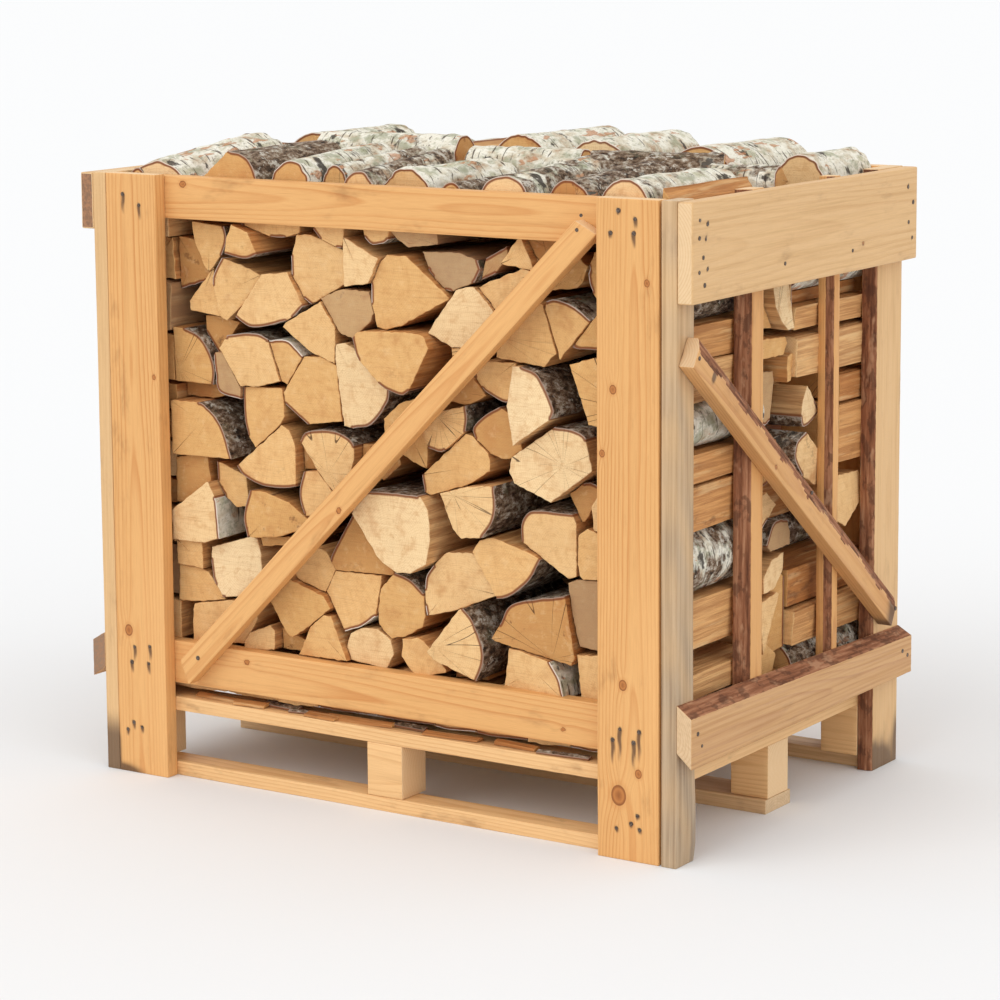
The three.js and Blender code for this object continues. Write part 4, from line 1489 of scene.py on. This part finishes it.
def make_brace(node, plane, start, end, wide, cuts, finish, slot, seed, half_turn=False, slope=0, **options):
    """A slanting bar. plane is the flat axis that it runs along beside z."""
    low, high = reach_of(node, half_turn)
    thick = 1 - plane
    run = np.array([end[0] - start[0], end[1] - start[1]], float)
    length = np.hypot(*run)
    run /= length
    axes = np.zeros((3, 3))
    axes[0, plane], axes[0, 2] = run
    axes[1, plane], axes[1, 2] = -run[1], run[0]
    axes[2, thick] = 1
    corner = np.zeros(3)
    corner[plane], corner[2] = start
    corner[thick] = low[thick]
    corner -= axes[1] * wide / 2

    def slant(points, size):
        share = np.clip(points[:, 0] / size[0], 0, 1)
        side = points[:, 1] / size[1] * 2 - 1
        points[:, 0] -= side * (cuts[0] * (1 - share) + cuts[1] * share)
        if slope:
            worn = np.clip((points[:, 1] - size[1] + slope) / slope, 0, 1)
            points[:, 2] -= 7 * worn**1.5 * np.clip(points[:, 2] / size[2], 0, 1)
        return points

    form = Shape()
    add_board(form, corner, axes, (length, wide, high[thick] - low[thick]), np.random.default_rng(seed),
              change=slant, turned=half_turn, **options)
    form.build(f"{node}_timber", [finish, PINE_BARK], slot, [node])


X, Y, Z = 0, 1, 2

# Nails in the boards, in millimetres from each board's low corner: along, across, rust streak below.
LEFT_BOARD_NAILS = [(923, 34, 34), (907, 66, 26), (205, 36, 26), (209, 67, 26), (180, 30, 20), (181, 64, 20),
                    (69, 18, 12), (82, 31, 14), (76, 47, 12)]
RIGHT_BOARD_NAILS = [(938, 37, 8), (927, 64, 16), (906, 24, 10), (907, 62, 24), (193, 38, 52), (176, 26, 40),
                     (193, 70, 48), (176, 61, 44), (69, 67, 8), (56, 57, 8), (46, 32, 8), (49, 71, 8)]
# Knots in the same way: along, across, size.
LEFT_BOARD_KNOTS = [(231, 25, 8), (640, 88, 4)]
RIGHT_BOARD_KNOTS = [(838, 83, 5), (684, 27, 6), (591, 9, 5), (258, 43, 7), (131, 69, 6), (95, 36, 13)]
SIDE_TOP_NAILS = [(20, 117, 0), (42, 110, 0), (19, 92, 0), (37, 89, 0), (30, 64, 0), (19, 44, 0), (42, 47, 0),
                  (34, 25, 0), (270, 33, 0), (485, 32, 0), (672, 114, 0), (690, 89, 0), (675, 59, 0),
                  (688, 34, 0)]
LEFT_TOP_NAILS = [(20, 62, 0), (42, 55, 0), (19, 37, 0), (37, 34, 0), (672, 59, 0), (690, 34, 0)]
SIDE_BOTTOM_NAILS = [(18, 50, 0), (30, 30, 0), (672, 40, 0), (690, 30, 0)]


def post_foot(points, size):
    """The narrow post widens near the floor, along the tree's outside."""
    bulge = np.interp(points[:, 0], [0, 25, 65, 120, 175], [2, 8, 9, 5, 0])
    points[:, 1] += bulge * np.clip(points[:, 1] / size[1], 0, 1)
    return points


def post_grey(u, v):
    """The narrow post is weathered, most of all in its lower half."""
    return 0.42 + 0.3 * np.clip(1.2 - u / 700, 0, 1) + 0.12 * np.sin(u / 60) * np.sin(u / 23 + v / 9)


def wane(start, cut_back):
    """A slope across one edge: from start in the thickness, cut_back wide at the outer face."""

    def change(points, size):
        share = np.clip((points[:, 2] - start) / (size[2] - start), 0, 1)
        edge = cut_back * share
        points[:, 1] = edge + points[:, 1] * (size[1] - edge) / size[1]
        return points

    return change


def slab_edge(points, size):
    """The bottom side board: bark edge sloping down outwards, narrower at its far end."""
    out = np.clip(points[:, 2] / size[2], 0, 1)
    foot, top = 22 * (1 - out), 92 - 18 * out
    scale = 1 - 0.2 * np.clip(points[:, 0] / size[0], 0, 1)
    points[:, 1] = (foot + points[:, 1] / size[1] * (top - foot)) * scale
    return points


AT_EDGE = 0.35  # faces this near an edge of a board belong to that edge


def low_slope(start):
    """Bark on the lower edge, in the part of the thickness past start."""
    return lambda middle, size: (middle[:, 1] < AT_EDGE) & (middle[:, 2] > start)


def low_edge(middle, _):
    return middle[:, 1] < AT_EDGE


def high_edge(middle, size):
    return middle[:, 1] > size[1] - AT_EDGE


def post_bark(middle, size):
    """Bark on the widened foot of the narrow post."""
    return (middle[:, 1] > size[1] - 0.4) & (middle[:, 0] < 190)


def brace_bark(middle, size):
    """Bark along the upper edge and, ragged, over the upper third of the outer face."""
    u, v, w = middle.T
    ragged = 17 + 3 * np.sin(u / 21) + 2 * np.sin(u / 8) + 2 * np.sin(u / 57)
    return (v > size[1] - AT_EDGE) | ((w > size[2] - AT_EDGE) & (v > size[1] - ragged))


def make_faces():
    """The front, and the same with other seeds as the back."""
    for side, seed, step in (("front", 100, 3.4), ("back", 200, 6.0)):
        planed = (PLANED, "planed_pine")
        make_board(f"{side}_left_board", Z, Y, *planed, seed + 1, step=step, knots=LEFT_BOARD_KNOTS,
                   rust=LEFT_BOARD_NAILS, heart=(44, -30), rot=[(8, -6, 70, 9), (0, 0, 12, 40)])
        make_board(f"{side}_right_board", Z, Y, *planed, seed + 2, step=step, knots=RIGHT_BOARD_KNOTS,
                   rust=RIGHT_BOARD_NAILS, heart=(62, -24))
        make_board(f"{side}_top_rail", X, Y, *planed, seed + 3, step=step * 1.5, knots=[(133, 54, 6)],
                   heart=(40, -35))
        make_board(f"{side}_bottom_rail", X, Y, *planed, seed + 4, step=step * 1.5,
                   knots=[(240, 50, 5), (820, 22, 4)], heart=(20, -45))
        make_brace(f"{side}_brace", X, (-366, 175), (375, 911), 38, (-8, 6), *planed, seed + 5,
                   half_turn=side == "back", step=step * 1.4, knots=[(420, 9, 5)], heart=(12, -30))


def make_sides():
    """The right side, and nearly the same turned half round as the left side."""
    for side, seed in (("right", 300), ("left", 400)):

        def board(name, along, thick, finish, slot, number, **options):
            make_board(f"{side}_{name}", along, thick, finish, slot, seed + number,
                       half_turn=side == "left", **options)

        board("narrow_post", Z, X, SAWN, "sawn_pine", 1, grey=post_grey, change=post_foot, step=6,
              bark=post_bark, rot=[(20, 50, 55, 12)])
        board("wide_post", Z, X, SAWN, "sawn_pine", 2, grey=0.12, change=wane(17, 5), bark=low_edge, step=7,
              rot=[(0, 20, 42, 60), (10, 88, 60, 16)])
        nails = LEFT_TOP_NAILS if side == "left" else SIDE_TOP_NAILS
        ends = 2.0 if side == "left" else 1.0
        board("top_board", Y, X, SAWN, "sawn_pine", 3, grey=0.1, rust=nails, step=5, soft=2.5,
              knots=[(520, 40, 4)], heart=(70, -60), ends=ends)
        board("bottom_board", Y, X, WANEY, "waney_pine", 4, grey=0.3, change=slab_edge, bark=high_edge, step=6,
              ends=ends)
        board("stake_1", Z, X, WANEY, "waney_pine", 5, change=wane(4, 12), bark=low_edge, step=6)
        board("stake_2", Z, X, WANEY, "waney_pine", 6, change=wane(10, 7), bark=low_slope(10), step=6)
        foot = (317, 246) if side == "left" else (291, 256)
        make_brace(f"{side}_brace", Y, (-336, 743), foot, 46, (2, 4), WANEY, "waney_pine", seed + 7,
                   half_turn=side == "left", bark=brace_bark, step=4, slope=20, ends=1.4, knots=[(300, 10, 4)],
                   rot=[(800, 22, 30, 40), (60, 20, 5, 9)], grey=0.1)


def make_pallet():
    seed = 500
    for node in sorted(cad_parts):
        if not node.startswith(("pallet_", "deck_")):
            continue
        seed += 1
        low, high = [np.array(c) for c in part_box(node)]
        size = high - low
        along, thick = (X, Y) if "block" in node else (int(size.argmax()), int(size.argmin()))
        # Painted shade: the middle and back runners lie under the crate, and their weathered grey darkens them
        # there.
        dark = 0.35 if "runner_middle" in node or "runner_back" in node else 0.0
        make_board(node, along, thick, PALLET, "pallet_pine", seed, step=10, grey=dark, soft=1.2)


# ---------------------------------------------------------------- nails


# Nails in the braces, from the crate's front left corner on the floor: across, up.
FRONT_BRACE_NAILS = ((893, 928), (886, 907), (187, 202))
SIDE_BRACE_NAILS = ((20, 735), (645, 262), (360, 492))
HEAD_RADIUS = 0.0030
HEAD_HEIGHT = 0.0012
HEAD_SIDES = 14


def nail_finish():
    f = Finish("nail_steel")
    place = f.node("ShaderNodeTexCoord").outputs["Object"]
    spots = f.noise(place, (700, 700, 700), 3)
    base = f.ramp(spots, [(0.35, (60, 44, 36)), (0.55, (104, 88, 76)), (0.7, (150, 140, 130))])
    f.shader.inputs["Metallic"].default_value = 0.6
    return f.finish(base, f.band(spots, 0.3, 0.7, 0.35, 0.7), f.bump(spots, 0.0004), 0.5)


def nail_places():
    """Every nail head: its place in millimetres and the way it faces. The back and the left side get
    the front's and the right side's, but for the side top boards, which differ."""
    found = []

    def on(node, along, across, outward, at, marks):
        low, high = [np.array(c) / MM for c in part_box(node)]
        for u, v, _ in marks:
            p = low.copy()
            p[along] += u
            p[across] += v
            p[at] = low[at] if sum(outward) < 0 else high[at]
            found.append((p, outward))

    front = (0, -1, 0)
    right = (1, 0, 0)
    for board, marks in (("left", LEFT_BOARD_NAILS), ("right", RIGHT_BOARD_NAILS)):
        on(f"front_{board}_board", Z, X, front, Y, marks)
    on("right_bottom_board", Y, Z, right, X, SIDE_BOTTOM_NAILS)
    for x, z in FRONT_BRACE_NAILS:
        p = np.array([x - CORNER_X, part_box("front_brace")[0].y / MM, float(z)])
        found.append((p, front))
    for y, z in SIDE_BRACE_NAILS:
        p = np.array([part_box("right_brace")[1].x / MM, y - CORNER_Y, float(z)])
        found.append((p, right))
    found += [(p * np.array([-1, -1, 1]), (-n[0], -n[1], 0)) for p, n in found]
    on("right_top_board", Y, Z, right, X, SIDE_TOP_NAILS)
    low, high = reach_of("left_top_board", True)
    for u, v, _ in LEFT_TOP_NAILS:
        found.append((np.array([-high[0], -(low[1] + u), low[2] + v]), (-1, 0, 0)))
    return found


def nail_tree(material):
    """Puts a low round head on every point, turned to face the way stored there."""
    tree = bpy.data.node_groups.new("nail_heads", "GeometryNodeTree")
    tree.interface.new_socket("Points", in_out="INPUT", socket_type="NodeSocketGeometry")
    radius = tree.interface.new_socket("Head radius", in_out="INPUT", socket_type="NodeSocketFloat")
    height = tree.interface.new_socket("Head height", in_out="INPUT", socket_type="NodeSocketFloat")
    tree.interface.new_socket("Nails", in_out="OUTPUT", socket_type="NodeSocketGeometry")
    new, link = tree.nodes.new, tree.links.new
    given, result = new("NodeGroupInput"), new("NodeGroupOutput")
    head = new("GeometryNodeMeshCylinder")
    head.inputs["Vertices"].default_value = HEAD_SIDES
    link(given.outputs["Head radius"], head.inputs["Radius"])
    link(given.outputs["Head height"], head.inputs["Depth"])
    facing = new("GeometryNodeInputNamedAttribute")
    facing.data_type = "FLOAT_VECTOR"
    facing.inputs["Name"].default_value = "facing"
    turn = new("FunctionNodeAlignRotationToVector")
    turn.axis = "Z"
    link(facing.outputs["Attribute"], turn.inputs["Vector"])
    vary = new("FunctionNodeRandomValue")
    vary.data_type = "FLOAT"
    vary.inputs["Min"].default_value = 0.8
    vary.inputs["Max"].default_value = 1.2
    vary.inputs["Seed"].default_value = 7
    put = new("GeometryNodeInstanceOnPoints")
    link(given.outputs["Points"], put.inputs["Points"])
    link(head.outputs["Mesh"], put.inputs["Instance"])
    link(turn.outputs["Rotation"], put.inputs["Rotation"])
    link(vary.outputs["Value"], put.inputs["Scale"])
    real = new("GeometryNodeRealizeInstances")
    paint = new("GeometryNodeSetMaterial")
    paint.inputs["Material"].default_value = material
    link(put.outputs["Instances"], real.inputs["Geometry"])
    link(real.outputs["Geometry"], paint.inputs["Geometry"])
    link(paint.outputs["Geometry"], result.inputs["Nails"])
    return tree, radius.identifier, height.identifier


def make_nails():
    material = nail_finish()
    nails = nail_places()
    mesh = bpy.data.meshes.new("nail_points")
    mesh.from_pydata([tuple(p * MM) for p, _ in nails], [], [])
    layer = mesh.attributes.new("facing", "FLOAT_VECTOR", "POINT")
    layer.data.foreach_set("vector", np.array([n for _, n in nails], np.float32).ravel())
    piece = bpy.data.objects.new("nail_heads", mesh)
    bpy.context.scene.collection.objects.link(piece)
    tree, radius, height = nail_tree(material)
    modifier = piece.modifiers.new("heads", "NODES")
    modifier.node_group = tree
    modifier[radius] = HEAD_RADIUS
    modifier[height] = HEAD_HEIGHT
    piece.update_tag()
    evaluated = piece.evaluated_get(bpy.context.evaluated_depsgraph_get())
    heads = bpy.data.meshes.new_from_object(evaluated)
    piece.modifiers.remove(modifier)
    piece.data = heads
    if not heads.materials:
        heads.materials.append(material)
    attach(piece, "root")


# ---------------------------------------------------------------- put together

set_camera()
set_studio()
make_faces()
make_sides()
make_pallet()
make_nails()
lay_rows()
lay_crosswise()
lay_top()
lay_chips()
